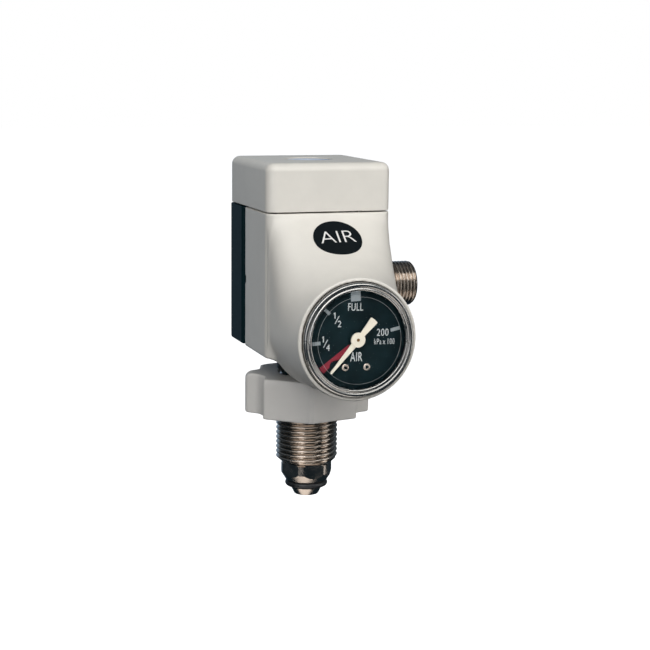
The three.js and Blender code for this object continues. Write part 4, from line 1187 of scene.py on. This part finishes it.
def area_light(name, azimuth, elevation, distance, size, power, colour):
    """A soft light aimed at the object. Azimuth 0 is in front and 90 on the outlet's side."""
    data = bpy.data.lights.new(name, "AREA")
    data.shape = "RECTANGLE"
    data.size, data.size_y = (s * MM for s in size)
    data.energy = power
    data.color = colour
    light = new_object(name, data)
    turn, rise = math.radians(azimuth), math.radians(elevation)
    out = np.array([math.sin(turn) * math.cos(rise), -math.cos(turn) * math.cos(rise),
                    math.sin(rise)])
    light.location = (np.array(AIM) + out * distance) * MM
    across = np.array([math.cos(turn), math.sin(turn), 0])
    axes = Matrix(np.stack([across, np.cross(out, across), out], axis=1).tolist())
    light.rotation_mode = "QUATERNION"
    light.rotation_quaternion = axes.to_quaternion()
    return light


def make_world():
    """White to look at. Reflections see it dark below and slate above and behind."""
    world = bpy.data.worlds.new("studio")
    world.use_nodes = True
    tree = world.node_tree
    link = tree.links.new
    surround = tree.nodes["Background"]
    split = add_node(tree, "SeparateXYZ")
    link(add_node(tree, "TexCoord").outputs["Generated"], split.inputs[0])
    height = add_node(tree, "MapRange", From_Min=-1)
    link(split.outputs["Z"], height.inputs["Value"])
    shades = add_node(tree, "ValToRGB")
    set_ramp(shades, (0.35, SHADE_BELOW), (0.8, SHADE_ABOVE))
    link(height.outputs["Result"], shades.inputs["Fac"])
    behind = add_node(tree, "MapRange", From_Min=0.85, From_Max=0.97)
    link(split.outputs["Y"], behind.inputs["Value"])
    slate = add_node(tree, "Mix")
    slate.data_type = "RGBA"
    slate.inputs["B"].default_value = (*SHADE_BEHIND, 1)
    link(behind.outputs["Result"], slate.inputs["Factor"])
    link(shades.outputs["Color"], slate.inputs["A"])
    link(slate.outputs["Result"], surround.inputs["Color"])
    path = add_node(tree, "LightPath")
    level = add_node(tree, "MapRange", To_Min=AMBIENT)
    link(path.outputs["Is Glossy Ray"], level.inputs["Value"])
    link(level.outputs["Result"], surround.inputs["Strength"])
    backdrop = add_node(tree, "Background", Color=(1, 1, 1, 1), Strength=1.0)
    mix = add_node(tree, "MixShader")
    link(path.outputs["Is Camera Ray"], mix.inputs["Fac"])
    link(surround.outputs[0], mix.inputs[1])
    link(backdrop.outputs[0], mix.inputs[2])
    link(mix.outputs[0], tree.nodes["World Output"].inputs["Surface"])
    bpy.context.scene.world = world


def make_floor():
    """A plain pale floor under the object, which is held clear of it."""
    nodes = Nodes("floor")
    cloud = nodes.noise(size=60, detail=2)
    nodes.drive("Base Color", nodes.ramp(cloud, (0.9, 0.9, 0.9), (0.93, 0.93, 0.93)))
    nodes.set("Roughness", 0.9)
    nodes.set("Emission Color", (1, 1, 1, 1))
    nodes.set("Emission Strength", 1.0)
    mesh = bpy.data.meshes.new("floor")
    corners = [(-1, -1), (1, -1), (1, 1), (-1, 1)]
    mesh.from_pydata([(x * FLOOR_HALF * MM, y * FLOOR_HALF * MM, FLOOR_Z * MM) for x, y in corners],
                     [], [(0, 1, 2, 3)])
    mesh.materials.append(nodes.material)
    floor = new_object("floor", mesh)
    floor.visible_diffuse = False
    floor.visible_glossy = False


def make_studio():
    make_camera()
    make_world()
    make_floor()
    bpy.context.scene.view_settings.view_transform = "Standard"
    area_light("key", -5, 44, 900, (1300, 560), 7.2, (1.0, 0.985, 0.945))
    area_light("fill_left", -42, 12, 900, (420, 700), 2.3, (0.99, 0.99, 1.0))
    area_light("fill_right", 60, 6, 900, (480, 800), 2.5, (1.0, 0.98, 0.95))
    bounce = area_light("bounce", -30, -60, 500, (680, 420), 1.45, (1.0, 0.93, 0.86))
    bounce.visible_diffuse = False


dress_cad_nodes()
make_studio()
make_top_cap()
make_covers()
make_cover_screws()
make_label()
make_gland_nut()
make_stem()
make_nose_ring()
make_handwheel()
make_outlet()
make_bezel()
make_lens()
make_dial()
make_dial_print()
make_dial_screws()
make_pointer()
make_adjusting_screw()
make_springs()
